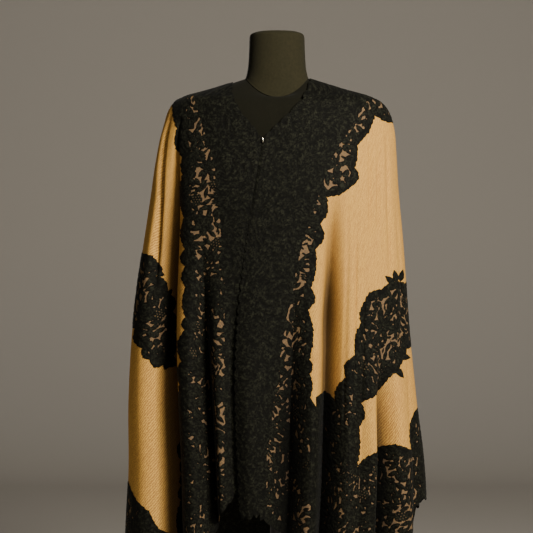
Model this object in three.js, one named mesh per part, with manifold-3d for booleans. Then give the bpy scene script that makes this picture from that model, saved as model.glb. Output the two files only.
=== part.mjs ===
// A camel wool shawl with black lace borders, pinned round a plain dress form on its stand.
// Millimetres, +Z up, the front towards -Y, left and right as seen from the front.
import * as THREE from "three";
import { mergeVertices } from "three/addons/utils/BufferGeometryUtils.js";
import Module from "manifold-3d";

const wasm = await Module();
wasm.setup();

// Cloth
const WOOL_WALL = 1.5;
const LACE_WALL = 1;
const SEAM_GAP = 0.3;
const LACE_OUT = WOOL_WALL / 2 + SEAM_GAP + LACE_WALL / 2;
const PIN_TIE = { x: -28, z: 1270 };
const PIN_LONG = 10;
const PIN_RADIUS = 1.8;

// Dress form and stand
const NECK_TOP = 1494;
const NECK_SEAM = 0.3;
const COLLAR_TOP = 689.7;
const COLLAR_RADIUS = 46;
const COLLAR_DEEP = 26;
const POLE_RADIUS = 14;
const BASE_RADIUS = 190;
const BASE_THICK = 16;
const BOSS_RADIUS = 34;
const BOSS_TOP = 46;

// How finely the walls are drawn
const FRONT_STEPS = 3;
const BACK_STEPS = 2;
const ROW_PLACES = [0, 0.045, 0.095, 0.135, 0.17, 0.21, 0.28, 0.37, 0.48, 0.6, 0.76, 1];
const FORM_SIDES = 28;

// Sections of the dress form from the neck seam down. Each is an oval at height z, with its
// reach to either side, to the front and to the back; it dips in front and rises behind.
const FORM_SECTIONS = [
  { z: 1402, dip: 44, rise: 26, side: 62, front: 60, back: 64 },
  { z: 1392, dip: 33, rise: 22, side: 93, front: 70, back: 76 },
  { z: 1377, dip: 22, rise: 16, side: 137, front: 79, back: 86 },
  { z: 1358, dip: 11, rise: 8, side: 183, front: 87, back: 95 },
  { z: 1338, dip: 4, rise: 3, side: 200, front: 93, back: 100 },
  { z: 1304, dip: 0, rise: 0, side: 206, front: 101, back: 104 },
  { z: 1255, dip: 0, rise: 0, side: 194, front: 112, back: 106 },
  { z: 1170, dip: 0, rise: 0, side: 163, front: 128, back: 103 },
  { z: 1080, dip: 0, rise: 0, side: 140, front: 108, back: 95 },
  { z: 985, dip: 0, rise: 0, side: 124, front: 92, back: 88 },
  { z: 880, dip: 0, rise: 0, side: 152, front: 100, back: 106 },
  { z: 790, dip: 0, rise: 0, side: 168, front: 104, back: 122 },
  { z: 715, dip: 0, rise: 0, side: 163, front: 100, back: 118 },
  { z: 690, dip: 0, rise: 0, side: 146, front: 88, back: 104 },
];

// Neck of the form from its seam up: how far up from the seam, and its reach
const NECK_SECTIONS = [
  { up: 0, side: 62, front: 60, back: 64, y: 0 },
  { up: 0.25, side: 58, front: 55, back: 58, y: 3 },
  { up: 0.6, side: 56, front: 53, back: 54, y: 6 },
  { up: 0.9, side: 55, front: 53, back: 53, y: 8 },
  { up: 0.97, side: 52.5, front: 50, back: 50, y: 8 },
  { up: 1, side: 46, front: 44, back: 44, y: 8 },
];

// Sections of the hanging shawl from the neck down, measured to the middle of the wool
const SHAWL_SECTIONS = [
  { z: 1402, dip: 42, rise: 26, left: 64, right: 64, front: 62, back: 66 },
  { z: 1392, dip: 31, rise: 22, left: 95, right: 95, front: 72, back: 78 },
  { z: 1378, dip: 21, rise: 16, left: 140, right: 140, front: 82, back: 89 },
  { z: 1362, dip: 10, rise: 8, left: 193, right: 193, front: 91, back: 99 },
  { z: 1341, dip: 4, rise: 3, left: 215, right: 219, front: 98, back: 106 },
  { z: 1306, dip: 0, rise: 0, left: 226, right: 232, front: 107, back: 111 },
  { z: 1255, dip: 0, rise: 0, left: 237, right: 237, front: 119, back: 114 },
  { z: 1170, dip: 0, rise: 0, left: 250, right: 243, front: 136, back: 118 },
  { z: 1080, dip: 0, rise: 0, left: 263, right: 251, front: 143, back: 124 },
  { z: 985, dip: 0, rise: 0, left: 275, right: 258, front: 147, back: 130 },
  { z: 880, dip: 0, rise: 0, left: 284, right: 263, front: 151, back: 137 },
  { z: 760, dip: 0, rise: 0, left: 288, right: 273, front: 157, back: 144 },
  { z: 640, dip: 0, rise: 0, left: 289, right: 285, front: 162, back: 150 },
  { z: 520, dip: 0, rise: 0, left: 294, right: 291, front: 166, back: 154 },
  { z: 380, dip: 0, rise: 0, left: 299, right: 295, front: 170, back: 158 },
];
const SQUARENESS = 0.08;

// Folds in turn from the right front edge, by the right arm, the back and the left arm, to the
// left front edge. Angles are in degrees from the middle of the front towards the right: at the
// shoulders, the bow on the way, and at the hem. Depth is out from the section at the hem.
const FOLDS = [
  { top: -6.5, bow: -5, hem: -13.2, depth: 5, start: 1200, reach: 500 },
  { top: -2, bow: -4, hem: -9, depth: 16, start: 1150, reach: 500 },
  { top: 9, bow: 0, hem: 3.9, depth: -38, start: 1080, reach: 460 },
  { top: 18, bow: 0, hem: 10.9, depth: 14, start: 1080, reach: 450 },
  { top: 27, bow: 0, hem: 16.9, depth: -42, start: 1140, reach: 300 },
  { top: 36, bow: 0, hem: 24.5, depth: 13, start: 1100, reach: 450 },
  { top: 42, bow: 0, hem: 30, depth: 2, start: 1100, reach: 450 },
  { top: 48, bow: 0, hem: 35.5, depth: 13, start: 1000, reach: 350 },
  { top: 56, bow: 0, hem: 42.3, depth: -42, start: 880, reach: 280 },
  { top: 67, bow: 0, hem: 53, depth: 12, start: 950, reach: 400 },
  { top: 79, bow: 0, hem: 67, depth: -14, start: 900, reach: 400 },
  { top: 92, bow: 0, hem: 83, depth: 8, start: 1000, reach: 400 },
  { top: 104, bow: 0, hem: 99, depth: -26, start: 1000, reach: 450 },
  { top: 116, bow: 0, hem: 112, depth: 16, start: 1050, reach: 450 },
  { top: 128, bow: 0, hem: 125, depth: -30, start: 1080, reach: 480 },
  { top: 141, bow: 0, hem: 139, depth: 18, start: 1100, reach: 500 },
  { top: 154, bow: 0, hem: 152, depth: -30, start: 1060, reach: 480 },
  { top: 167, bow: 0, hem: 166, depth: 18, start: 1040, reach: 480 },
  { top: 180, bow: 0, hem: 180, depth: -26, start: 1020, reach: 480 },
  { top: 193, bow: 0, hem: 194, depth: 18, start: 1050, reach: 480 },
  { top: 206, bow: 0, hem: 208, depth: -32, start: 1080, reach: 480 },
  { top: 219, bow: 0, hem: 221, depth: 18, start: 1100, reach: 500 },
  { top: 232, bow: 0, hem: 235, depth: -28, start: 1060, reach: 480 },
  { top: 245, bow: 0, hem: 248, depth: 14, start: 1050, reach: 450 },
  { top: 256, bow: 0, hem: 261, depth: -20, start: 1000, reach: 450 },
  { top: 270, bow: 0, hem: 276, depth: 4, start: 1000, reach: 400 },
  { top: 290, bow: 0, hem: 300, depth: 15, start: 1250, reach: 450 },
  { top: 304.5, bow: 0, hem: 316.5, depth: -66, start: 1330, reach: 330 },
  { top: 320, bow: 0, hem: 329.4, depth: 14, start: 1150, reach: 450 },
  { top: 326, bow: 0, hem: 337, depth: -36, start: 1120, reach: 340 },
  { top: 334, bow: 0, hem: 341, depth: 12, start: 1080, reach: 420 },
  { top: 352, bow: -5, hem: 345, depth: -4, start: 1200, reach: 500 },
];
const FOLD_TOP = 1290;
const FOLD_HEM = 560;
const ROUND_RIDGE = 0.5;

// Lower edge of the shawl by angle at the hem
const HEM = [
  { at: -14, z: 551 }, { at: -5, z: 548 }, { at: 4, z: 505 }, { at: 12, z: 470 },
  { at: 25, z: 445 }, { at: 45, z: 425 }, { at: 63, z: 432 }, { at: 67, z: 500 },
  { at: 70, z: 556 }, { at: 76, z: 568 }, { at: 95, z: 556 }, { at: 125, z: 510 },
  { at: 152, z: 462 }, { at: 180, z: 442 }, { at: 208, z: 462 }, { at: 235, z: 505 },
  { at: 262, z: 520 }, { at: 280, z: 470 }, { at: 300, z: 440 }, { at: 320, z: 438 },
  { at: 331, z: 470 }, { at: 338, z: 540 }, { at: 346, z: 597 },
];

// Neck edge as seen from the front, and its distance from the middle of the neck behind
const NECK_EDGE = [
  { x: -88, z: 1398 }, { x: -86, z: 1362 }, { x: -71, z: 1327 }, { x: -49, z: 1302 },
  { x: -29, z: 1274 }, { x: -5, z: 1299 }, { x: 24, z: 1327 }, { x: 46, z: 1352 },
  { x: 59, z: 1381 }, { x: 67, z: 1411 },
];
const NECK_BEHIND = { left: 88, back: 74, right: 67 };

// Edge of the wool under the lace, up the left front and down the right, and across the back
const WOOL_EDGE_LEFT = [
  { x: -97, z: 300 }, { x: -95, z: 1000 }, { x: -116, z: 1223 }, { x: -161, z: 1367 },
];
const WOOL_EDGE_RIGHT = [
  { x: 174, z: 1357 }, { x: 98, z: 1233 }, { x: 39, z: 1059 }, { x: 5, z: 887 },
  { x: -26, z: 679 }, { x: -30, z: 300 },
];
const WOOL_EDGE_BACK = [
  { x: -161, z: 1367 }, { x: -120, z: 1325 }, { x: -60, z: 1298 }, { x: 0, z: 1290 },
  { x: 64, z: 1298 }, { x: 128, z: 1325 }, { x: 174, z: 1357 },
];
const WOOL_EDGE_LOW = [
  { x: -330, z: 560 }, { x: -230, z: 596 }, { x: -120, z: 692 }, { x: 0, z: 706 },
  { x: 110, z: 690 }, { x: 240, z: 640 }, { x: 330, z: 640 },
];

// Guides of the lace on the wool, seen from the front, each with its lace on the right-hand
// side of the way it runs; scallops stand out along them
const BORDER_LEFT = [
  { x: -182, z: 300 }, { x: -177, z: 800 }, { x: -160, z: 930 }, { x: -168, z: 1060 },
  { x: -188, z: 1240 }, { x: -215, z: 1350 },
];
const BORDER_RIGHT = [
  { x: 250, z: 1322 }, { x: 190, z: 1324 }, { x: 154, z: 1262 }, { x: 143, z: 1182 },
  { x: 92, z: 1162 }, { x: 72, z: 1060 }, { x: 58, z: 945 }, { x: 62, z: 780 },
];
const BORDER_BACK = [
  { x: 250, z: 1322 }, { x: 160, z: 1296 }, { x: 60, z: 1246 }, { x: -60, z: 1246 },
  { x: -150, z: 1300 }, { x: -215, z: 1350 },
];
const END_RIGHT = [
  { x: 72, z: 780 }, { x: 112, z: 768 }, { x: 148, z: 858 }, { x: 168, z: 960 },
  { x: 200, z: 982 }, { x: 300, z: 1004 },
];
const ISLAND_RIGHT = [
  { x: 300, z: 884 }, { x: 254, z: 866 }, { x: 216, z: 812 }, { x: 166, z: 768 },
  { x: 156, z: 645 }, { x: 198, z: 676 }, { x: 262, z: 668 }, { x: 270, z: 741 },
  { x: 330, z: 741 },
];
const PATCH_LEFT = [
  { x: -282, z: 925 }, { x: -274, z: 1000 }, { x: -252, z: 1040 }, { x: -216, z: 996 },
  { x: -206, z: 930 }, { x: -212, z: 842 }, { x: -262, z: 862 }, { x: -282, z: 925 },
];
const HEM_LEFT = [
  { x: -196, z: 300 }, { x: -200, z: 505 }, { x: -246, z: 556 }, { x: -290, z: 606 },
  { x: -330, z: 606 },
];
const HEM_BACK = [
  { x: -330, z: 606 }, { x: -230, z: 642 }, { x: -120, z: 738 }, { x: 0, z: 752 },
  { x: 110, z: 738 }, { x: 210, z: 704 }, { x: 270, z: 741 }, { x: 330, z: 741 },
];
const GARLAND_BACK = [
  { x: 300, z: 884 }, { x: 236, z: 882 }, { x: 216, z: 930 }, { x: 236, z: 992 },
  { x: 300, z: 1004 },
];
const SCALLOP_LONG = 52;
const SCALLOP_DEEP = 9;
const LACE_ABOVE = 1450;
const LACE_BELOW = 300;

// Leaf tips that stand out from the garland, and points of the free lace at the right front hem
const LEAVES = [
  { x: 226, z: 988, turn: 136 }, { x: 232, z: 992, turn: 86 }, { x: 242, z: 994, turn: 56 },
  { x: 232, z: 852, turn: -12 }, { x: 224, z: 832, turn: -52 },
];
const LEAF_LONG = 26;
const LEAF_WIDE = 13;
const HEM_POINTS = { from: -72, to: -34, count: 3, high: 562, low: 549 };
const GAP_PITCH_FRONT = 64;
const GAP_PITCH_BACK = 80;
const GAP_LONG = 20;
const GAP_WIDE = 7.5;
const GAP_MARGIN = 17;
const GAP_LOWEST = 470;
const GAP_HEIGHT = 930;

const radians = THREE.MathUtils.degToRad;
const smooth = THREE.MathUtils.smoothstep;
const mix = THREE.MathUtils.lerp;

// A column of a table, read between its rows along a smooth curve
function curve(rows, column, at) {
  const last = rows.length - 1;
  const i = THREE.MathUtils.clamp(Math.floor(at), 0, last - 1);
  const f = at - i;
  const row = (k) => rows[THREE.MathUtils.clamp(k, 0, last)][column];
  const [a, b, c, d] = [row(i - 1), row(i), row(i + 1), row(i + 2)];
  return b + 0.5 * f * (c - a + f * (2 * a - 5 * b + 4 * c - d + f * (3 * (b - c) + d - a)));
}

// A table read straight between its rows, by the value in one column
function straight(rows, by, column, at) {
  let i = 0;
  while (i < rows.length - 2 && at > rows[i + 1][by]) i += 1;
  const f = THREE.MathUtils.clamp((at - rows[i][by]) / (rows[i + 1][by] - rows[i][by]), 0, 1);
  return mix(rows[i][column], rows[i + 1][column], f);
}

// A point of an oval section at an angle from the front, and the way out from it
function oval(section, angle) {
  const s = Math.sin(angle);
  const c = Math.cos(angle);
  const across = s < 0 ? section.left : section.right;
  const along = c > 0 ? section.front : section.back;
  const x = across * s * (1 + SQUARENESS * c * c);
  const y = -along * c * (1 + SQUARENESS * s * s);
  const z = section.z - (c > 0 ? section.dip * c * c : -section.rise * c * c);
  const out = new THREE.Vector3(x / across ** 2, y / along ** 2, 0).normalize();
  return { point: new THREE.Vector3(x, y, z), out };
}

function sectionOf(rows, level) {
  const section = {};
  for (const column of Object.keys(rows[0])) section[column] = curve(rows, column, level);
  section.left ??= section.side;
  section.right ??= section.side;
  return section;
}

// Where a fold line runs at a height, and how far it stands out there
function foldLine(fold, z) {
  const down = THREE.MathUtils.clamp((FOLD_TOP - z) / (FOLD_TOP - FOLD_HEM), 0, 1.2);
  const bow = fold.bow * Math.sin(Math.PI * Math.min(down, 1));
  const grown = 1 - smooth(z, fold.start - fold.reach, fold.start);
  return { angle: mix(fold.top, fold.hem, down) + bow, reach: fold.depth * grown };
}

// The middle of the wool: s runs from fold to fold, level from section to section
function drape(s, level) {
  const i = THREE.MathUtils.clamp(Math.floor(s), 0, FOLDS.length - 2);
  const f = s - i;
  const section = sectionOf(SHAWL_SECTIONS, level);
  const here = foldLine(FOLDS[i], section.z);
  const next = foldLine(FOLDS[i + 1], section.z);
  const { point, out } = oval(section, radians(mix(here.angle, next.angle, f)));
  const near = 0.5 + 0.5 * Math.cos(Math.PI * f);
  const reach = here.reach > next.reach
    ? mix(next.reach, here.reach, near ** ROUND_RIDGE)
    : mix(here.reach, next.reach, (1 - near) ** ROUND_RIDGE);
  return point.addScaledVector(out, reach);
}

function inNeckOpening(point) {
  if (point.y < 0) {
    const inside = point.x > NECK_EDGE[0].x && point.x < NECK_EDGE.at(-1).x;
    return inside && point.z > straight(NECK_EDGE, "x", "z", point.x);
  }
  const away = Math.hypot(point.x, point.y);
  const side = point.x < 0 ? NECK_BEHIND.left : NECK_BEHIND.right;
  return away < mix(NECK_BEHIND.back, side, Math.abs(point.x) / away);
}

// Level along a meridian at which a test first fails, found by halving
function levelWhere(s, test, from, to) {
  let [low, high] = [from, to];
  for (let k = 0; k < 30; k += 1) {
    const middle = (low + high) / 2;
    if (test(drape(s, middle))) low = middle;
    else high = middle;
  }
  return low;
}

// Levels of the rows of points from the neck edge to the hem, closer together near the top
function meridianLevels(s) {
  const last = SHAWL_SECTIONS.length - 1;
  const i = Math.min(Math.floor(s), FOLDS.length - 2);
  const hemZ = straight(HEM, "at", "z", mix(FOLDS[i].hem, FOLDS[i + 1].hem, s - i));
  const top = levelWhere(s, inNeckOpening, 0, last);
  const foot = levelWhere(s, (point) => point.z > hemZ, top, last);
  const steps = 60;
  const along = [0];
  for (let k = 1; k <= steps; k += 1) {
    const a = drape(s, mix(top, foot, (k - 1) / steps));
    along.push(along[k - 1] + a.distanceTo(drape(s, mix(top, foot, k / steps))));
  }
  return ROW_PLACES.map((place) => {
    const want = along[steps] * place;
    let k = 1;
    while (k < steps && along[k] < want) k += 1;
    const f = (want - along[k - 1]) / (along[k] - along[k - 1]);
    return mix(top, foot, (k - 1 + f) / steps);
  });
}

function drapeNormal(s, level) {
  const step = 0.02;
  const low = Math.max(s - step, 0);
  const high = Math.min(s + step, FOLDS.length - 1);
  const around = drape(high, level).sub(drape(low, level));
  const down = drape(s, level + step).sub(drape(s, Math.max(level - step, 0)));
  return down.cross(around).normalize();
}

function manifoldOf(positions, index) {
  const mesh = new wasm.Mesh({
    numProp: 3,
    vertProperties: new Float32Array(positions),
    triVerts: new Uint32Array(index),
  });
  return new wasm.Manifold(mesh);
}

function geometryOf(manifold) {
  const mesh = manifold.getMesh();
  const geometry = new THREE.BufferGeometry();
  geometry.setAttribute("position", new THREE.BufferAttribute(mesh.vertProperties, 3));
  geometry.setIndex(new THREE.BufferAttribute(mesh.triVerts, 1));
  return geometry;
}

// A wall of cloth over one stretch of the drape, its middle moved out by an offset
function clothWall({ from, to, steps }, offset, thickness) {
  const stations = [from];
  for (let k = Math.floor(from * steps + 1); k < to * steps - 0.1; k += 1) stations.push(k / steps);
  stations.push(to);
  const outer = [];
  const inner = [];
  for (const s of stations) {
    for (const level of meridianLevels(s)) {
      const point = drape(s, level);
      const normal = drapeNormal(s, level);
      outer.push(...point.clone().addScaledVector(normal, offset + thickness / 2).toArray());
      inner.push(...point.clone().addScaledVector(normal, offset - thickness / 2).toArray());
    }
  }
  const rows = ROW_PLACES.length;
  const back = stations.length * rows;
  const at = (i, j) => i * rows + j;
  const index = [];
  const quad = (a, b, c, d) => index.push(a, b, c, a, c, d);
  for (let i = 0; i < stations.length - 1; i += 1) {
    for (let j = 0; j < rows - 1; j += 1) {
      quad(at(i, j), at(i, j + 1), at(i + 1, j + 1), at(i + 1, j));
      quad(back + at(i, j), back + at(i + 1, j), back + at(i + 1, j + 1), back + at(i, j + 1));
    }
    quad(at(i, 0), at(i + 1, 0), back + at(i + 1, 0), back + at(i, 0));
    quad(at(i, rows - 1), back + at(i, rows - 1), back + at(i + 1, rows - 1), at(i + 1, rows - 1));
  }
  const end = stations.length - 1;
  for (let j = 0; j < rows - 1; j += 1) {
    quad(at(0, j), back + at(0, j), back + at(0, j + 1), at(0, j + 1));
    quad(at(end, j), at(end, j + 1), back + at(end, j + 1), back + at(end, j));
  }
  return manifoldOf([...outer, ...inner], index);
}

// A closed skin through rings of points, with a point at each end
function ringSkin(rings) {
  const sides = rings[0].length;
  const positions = [];
  const index = [];
  for (const ring of rings) for (const point of ring) positions.push(...point.toArray());
  for (let r = 0; r < rings.length - 1; r += 1) {
    for (let k = 0; k < sides; k += 1) {
      const a = r * sides + k;
      const b = r * sides + ((k + 1) % sides);
      index.push(a, b, b + sides, a, b + sides, a + sides);
    }
  }
  for (const [r, turned] of [[0, true], [rings.length - 1, false]]) {
    const middle = new THREE.Vector3();
    for (const point of rings[r]) middle.addScaledVector(point, 1 / sides);
    const centre = positions.length / 3;
    positions.push(...middle.toArray());
    for (let k = 0; k < sides; k += 1) {
      const a = r * sides + k;
      const b = r * sides + ((k + 1) % sides);
      if (turned) index.push(centre, b, a);
      else index.push(centre, a, b);
    }
  }
  const geometry = new THREE.BufferGeometry();
  geometry.setAttribute("position", new THREE.Float32BufferAttribute(positions, 3));
  geometry.setIndex(index);
  return geometry;
}

// The torso from its foot up to the neck seam
function torsoSkin() {
  const rings = [];
  const last = FORM_SECTIONS.length - 1;
  for (let level = last; level >= 0; level -= level > 6 ? 1 : 0.5) {
    const section = sectionOf(FORM_SECTIONS, level);
    const ring = [];
    for (let k = 0; k < FORM_SIDES; k += 1) {
      ring.push(oval(section, (2 * Math.PI * k) / FORM_SIDES).point);
    }
    rings.push(ring);
  }
  return ringSkin(rings);
}

// The neck from its sloping seam to its level, rounded top
function neckSkin() {
  const seam = sectionOf(FORM_SECTIONS, 0);
  const rings = NECK_SECTIONS.map((row) => {
    const ring = [];
    for (let k = 0; k < FORM_SIDES; k += 1) {
      const angle = (2 * Math.PI * k) / FORM_SIDES;
      const section = { ...seam, left: row.side, right: row.side, front: row.front, back: row.back };
      const { point } = oval(section, angle);
      point.z = mix(point.z + NECK_SEAM, NECK_TOP, row.up);
      point.y += row.y;
      ring.push(point);
    }
    return ring;
  });
  return ringSkin(rings);
}

// A turned piece: radius and height up its outside, closed on its axis
function turned(profile, sides) {
  const points = profile.map(([radius, z]) => new THREE.Vector2(radius, z));
  return mergeVertices(new THREE.LatheGeometry(points, sides).deleteAttribute("normal")
    .deleteAttribute("uv"), 1e-4).rotateX(Math.PI / 2);
}

// A cutter through the cloth, drawn as seen from the front
function viewPrism(outline) {
  const bar = new THREE.ExtrudeGeometry(new THREE.Shape(outline), { depth: 800, bevelEnabled: false });
  bar.deleteAttribute("normal").deleteAttribute("uv");
  const solid = mergeVertices(bar.rotateX(Math.PI / 2).translate(0, 400, 0), 1e-4);
  return manifoldOf(solid.attributes.position.array, solid.index.array);
}

const seen = ({ x, z }) => new THREE.Vector2(x, z);
const corner = (x, z) => new THREE.Vector2(x, z);

// Scallops along a guide, standing out to the left of the way it runs
function scalloped(guide) {
  const edge = [];
  for (let k = 0; k < guide.length - 1; k += 1) {
    const [a, b] = [seen(guide[k]), seen(guide[k + 1])];
    const count = Math.max(1, Math.round(a.distanceTo(b) / SCALLOP_LONG));
    const out = corner(a.y - b.y, b.x - a.x).normalize();
    for (let j = 0; j < 3 * count; j += 1) {
      const rise = SCALLOP_DEEP * Math.abs(Math.sin((Math.PI * j) / 3));
      edge.push(a.clone().lerp(b, j / (3 * count)).addScaledVector(out, rise));
    }
  }
  return [...edge, seen(guide.at(-1))];
}

function leafOutline({ x, z, turn }) {
  const rim = [[0, 0], [0.3, -0.45], [0.65, -0.4], [1, 0], [0.65, 0.4], [0.3, 0.45]];
  return rim.map(([along, wide]) => corner(along * LEAF_LONG, wide * LEAF_WIDE)
    .rotateAround(corner(0, 0), radians(turn)).add(corner(x, z)));
}

function hemPoints() {
  const { from, to, count, high, low } = HEM_POINTS;
  const edge = [];
  for (let k = 0; k <= 2 * count; k += 1) {
    edge.push(corner(mix(from, to, k / (2 * count)), k % 2 ? low : high));
  }
  return edge;
}

function inside(outline, x, z) {
  let odd = false;
  outline.forEach((a, k) => {
    const b = outline.at(k - 1);
    if (a.y > z !== b.y > z && x < a.x + ((z - a.y) / (b.y - a.y)) * (b.x - a.x)) odd = !odd;
  });
  return odd;
}

// A lens-shaped cutter through the cloth at one of its points, square to the cloth there
function lensCutter(point, normal, turn) {
  const sideways = new THREE.Vector3(0, 0, 1).cross(normal).normalize();
  const upward = normal.clone().cross(sideways);
  const positions = [];
  const rim = [[1, 0], [0, GAP_WIDE / GAP_LONG], [-1, 0], [0, -GAP_WIDE / GAP_LONG]];
  for (const depth of [-6, 6]) {
    for (const [along, wide] of rim) {
      const across = (GAP_LONG / 2) * (along * Math.cos(turn) - wide * Math.sin(turn));
      const up = (GAP_LONG / 2) * (along * Math.sin(turn) + wide * Math.cos(turn));
      positions.push(...point.clone().addScaledVector(sideways, across)
        .addScaledVector(upward, up).addScaledVector(normal, depth).toArray());
    }
  }
  const index = [0, 2, 1, 0, 3, 2, 4, 5, 6, 4, 6, 7];
  for (let k = 0; k < 4; k += 1) {
    const n = (k + 1) % 4;
    index.push(k, n, n + 4, k, n + 4, k + 4);
  }
  return manifoldOf(positions, index);
}

// Gaps of the lace: one opening in each repeat that lies well inside the outline
function laceGaps(stretch, outline) {
  const gaps = [];
  for (let row = 0; row * stretch.pitch * 0.87 < GAP_HEIGHT; row += 1) {
    const z = GAP_LOWEST + row * stretch.pitch * 0.87;
    let level = 0;
    while (level < SHAWL_SECTIONS.length - 1 && curve(SHAWL_SECTIONS, "z", level) > z) level += 0.02;
    let walked = row % 2 ? stretch.pitch / 2 : stretch.pitch;
    for (let s = stretch.from + 0.1; s < stretch.to - 0.1; s += 0.1) {
      walked += drape(s, level).distanceTo(drape(s - 0.1, level));
      if (walked < stretch.pitch) continue;
      walked = 0;
      const middle = (Math.floor(s * stretch.steps) + 0.5) / stretch.steps;
      const point = drape(middle, level);
      const rim = [0, 1, 2, 3, 4, 5].map((k) => [
        point.x + GAP_MARGIN * Math.cos((k * Math.PI) / 3),
        point.z + GAP_MARGIN * Math.sin((k * Math.PI) / 3),
      ]);
      if (inNeckOpening(point) || !rim.every(([x, up]) => inside(outline, x, up))) continue;
      const turn = Math.PI / 2 + 0.4 * Math.sin(gaps.length * 2.4);
      gaps.push(lensCutter(point, drapeNormal(middle, level), turn));
    }
  }
  return gaps;
}

// A piece of the lace layer inside an outline, with its leaf tips, and its gaps cut through
function lace(stretch, outline, leaves = []) {
  const drawn = [outline, ...leaves.map(leafOutline)].map(viewPrism);
  const sheet = clothWall(stretch, LACE_OUT, LACE_WALL).intersect(wasm.Manifold.union(drawn));
  const cut = sheet.subtract(wasm.Manifold.union(laceGaps(stretch, outline)));
  const bodies = cut.decompose().sort((one, other) => other.volume() - one.volume());
  return geometryOf(bodies[0]);
}

function wool(stretch, ...edges) {
  const bare = wasm.Manifold.union(edges.map(viewPrism));
  return geometryOf(clothWall(stretch, 0, WOOL_WALL).subtract(bare));
}

const WOOL = new THREE.MeshStandardMaterial({ color: 0xb98f57, roughness: 0.9 });
const LACE = new THREE.MeshStandardMaterial({ color: 0x1d1b16, roughness: 0.85 });
const JERSEY = new THREE.MeshStandardMaterial({ color: 0x17170f, roughness: 0.9 });
const NECK_CLOTH = new THREE.MeshStandardMaterial({ color: 0x38341f, roughness: 0.9 });
const BRIGHT = new THREE.MeshStandardMaterial({ color: 0xc9c4ae, roughness: 0.3, metalness: 0.9 });
const STEEL = new THREE.MeshStandardMaterial({ color: 0x202020, roughness: 0.5, metalness: 0.6 });

const group = new THREE.Group();
function add(name, geometry, material) {
  const mesh = new THREE.Mesh(geometry, material);
  mesh.name = name;
  group.add(mesh);
}

// The three stretches of the shawl, from fold to fold
const RIGHT_SIDE = 11;
const LEFT_SIDE = 25;
const SPLIT = 0.006;
const FRONT = { steps: FRONT_STEPS, pitch: GAP_PITCH_FRONT };
const BEHIND = { steps: BACK_STEPS, pitch: GAP_PITCH_BACK };
const FRONT_RIGHT = { from: 0, to: RIGHT_SIDE - SPLIT, ...FRONT };
const BACK = { from: RIGHT_SIDE + SPLIT, to: LEFT_SIDE - SPLIT, ...BEHIND };
const FRONT_LEFT = { from: LEFT_SIDE + SPLIT, to: FOLDS.length - 1, ...FRONT };

const woolEdgeFront = [
  ...WOOL_EDGE_LEFT.map(seen), corner(WOOL_EDGE_LEFT.at(-1).x, LACE_ABOVE),
  corner(WOOL_EDGE_RIGHT[0].x, LACE_ABOVE), ...WOOL_EDGE_RIGHT.map(seen),
];
const woolEdgeBack = [
  ...WOOL_EDGE_BACK.map(seen), corner(WOOL_EDGE_BACK.at(-1).x, LACE_ABOVE),
  corner(WOOL_EDGE_BACK[0].x, LACE_ABOVE),
];
const woolEdgeLow = [
  ...WOOL_EDGE_LOW.map(seen), corner(WOOL_EDGE_LOW.at(-1).x, LACE_BELOW),
  corner(WOOL_EDGE_LOW[0].x, LACE_BELOW),
];
const edgeRight = BORDER_RIGHT.at(-1);
const endRight = END_RIGHT[0];
const outlines = {
  frontLeft: [...scalloped(BORDER_LEFT), corner(BORDER_LEFT.at(-1).x, LACE_ABOVE),
    corner(0, LACE_ABOVE), corner(0, LACE_BELOW)],
  frontRight: [...scalloped(BORDER_RIGHT), corner(edgeRight.x + 9, edgeRight.z - 20),
    corner(edgeRight.x + 9, LACE_BELOW), corner(HEM_POINTS.to + 3, LACE_BELOW),
    ...hemPoints().reverse(), corner(-140, HEM_POINTS.high), corner(-140, LACE_ABOVE),
    corner(BORDER_RIGHT[0].x, LACE_ABOVE)],
  neckBack: [...scalloped(BORDER_BACK), corner(BORDER_BACK.at(-1).x, LACE_ABOVE),
    corner(BORDER_BACK[0].x, LACE_ABOVE)],
  patchLeft: scalloped(PATCH_LEFT).slice(0, -1),
  garlandRight: [...scalloped(END_RIGHT), ...scalloped(ISLAND_RIGHT),
    corner(ISLAND_RIGHT.at(-1).x, LACE_BELOW), corner(endRight.x, LACE_BELOW)],
  garlandBack: scalloped(GARLAND_BACK),
  hemLeft: [...scalloped(HEM_LEFT), corner(HEM_LEFT.at(-1).x, LACE_BELOW)],
  hemBack: [...scalloped(HEM_BACK), corner(HEM_BACK.at(-1).x, LACE_BELOW),
    corner(HEM_BACK[0].x, LACE_BELOW)],
};

add("wool_front_left", wool(FRONT_LEFT, woolEdgeFront), WOOL);
add("wool_back", wool(BACK, woolEdgeBack, woolEdgeLow), WOOL);
add("wool_front_right", wool(FRONT_RIGHT, woolEdgeFront), WOOL);
add("lace_front_left", lace(FRONT_LEFT, outlines.frontLeft), LACE);
add("lace_front_right", lace(FRONT_RIGHT, outlines.frontRight), LACE);
add("lace_neck_back", lace(BACK, outlines.neckBack), LACE);
add("lace_patch_left", lace(FRONT_LEFT, outlines.patchLeft), LACE);
add("lace_garland_right", lace(FRONT_RIGHT, outlines.garlandRight, LEAVES), LACE);
add("lace_garland_back", lace(BACK, outlines.garlandBack), LACE);
add("lace_hem_left", lace(FRONT_LEFT, outlines.hemLeft), LACE);
add("lace_hem_back", lace(BACK, outlines.hemBack), LACE);
add("form_torso", torsoSkin(), JERSEY);
add("form_neck", neckSkin(), NECK_CLOTH);

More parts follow.
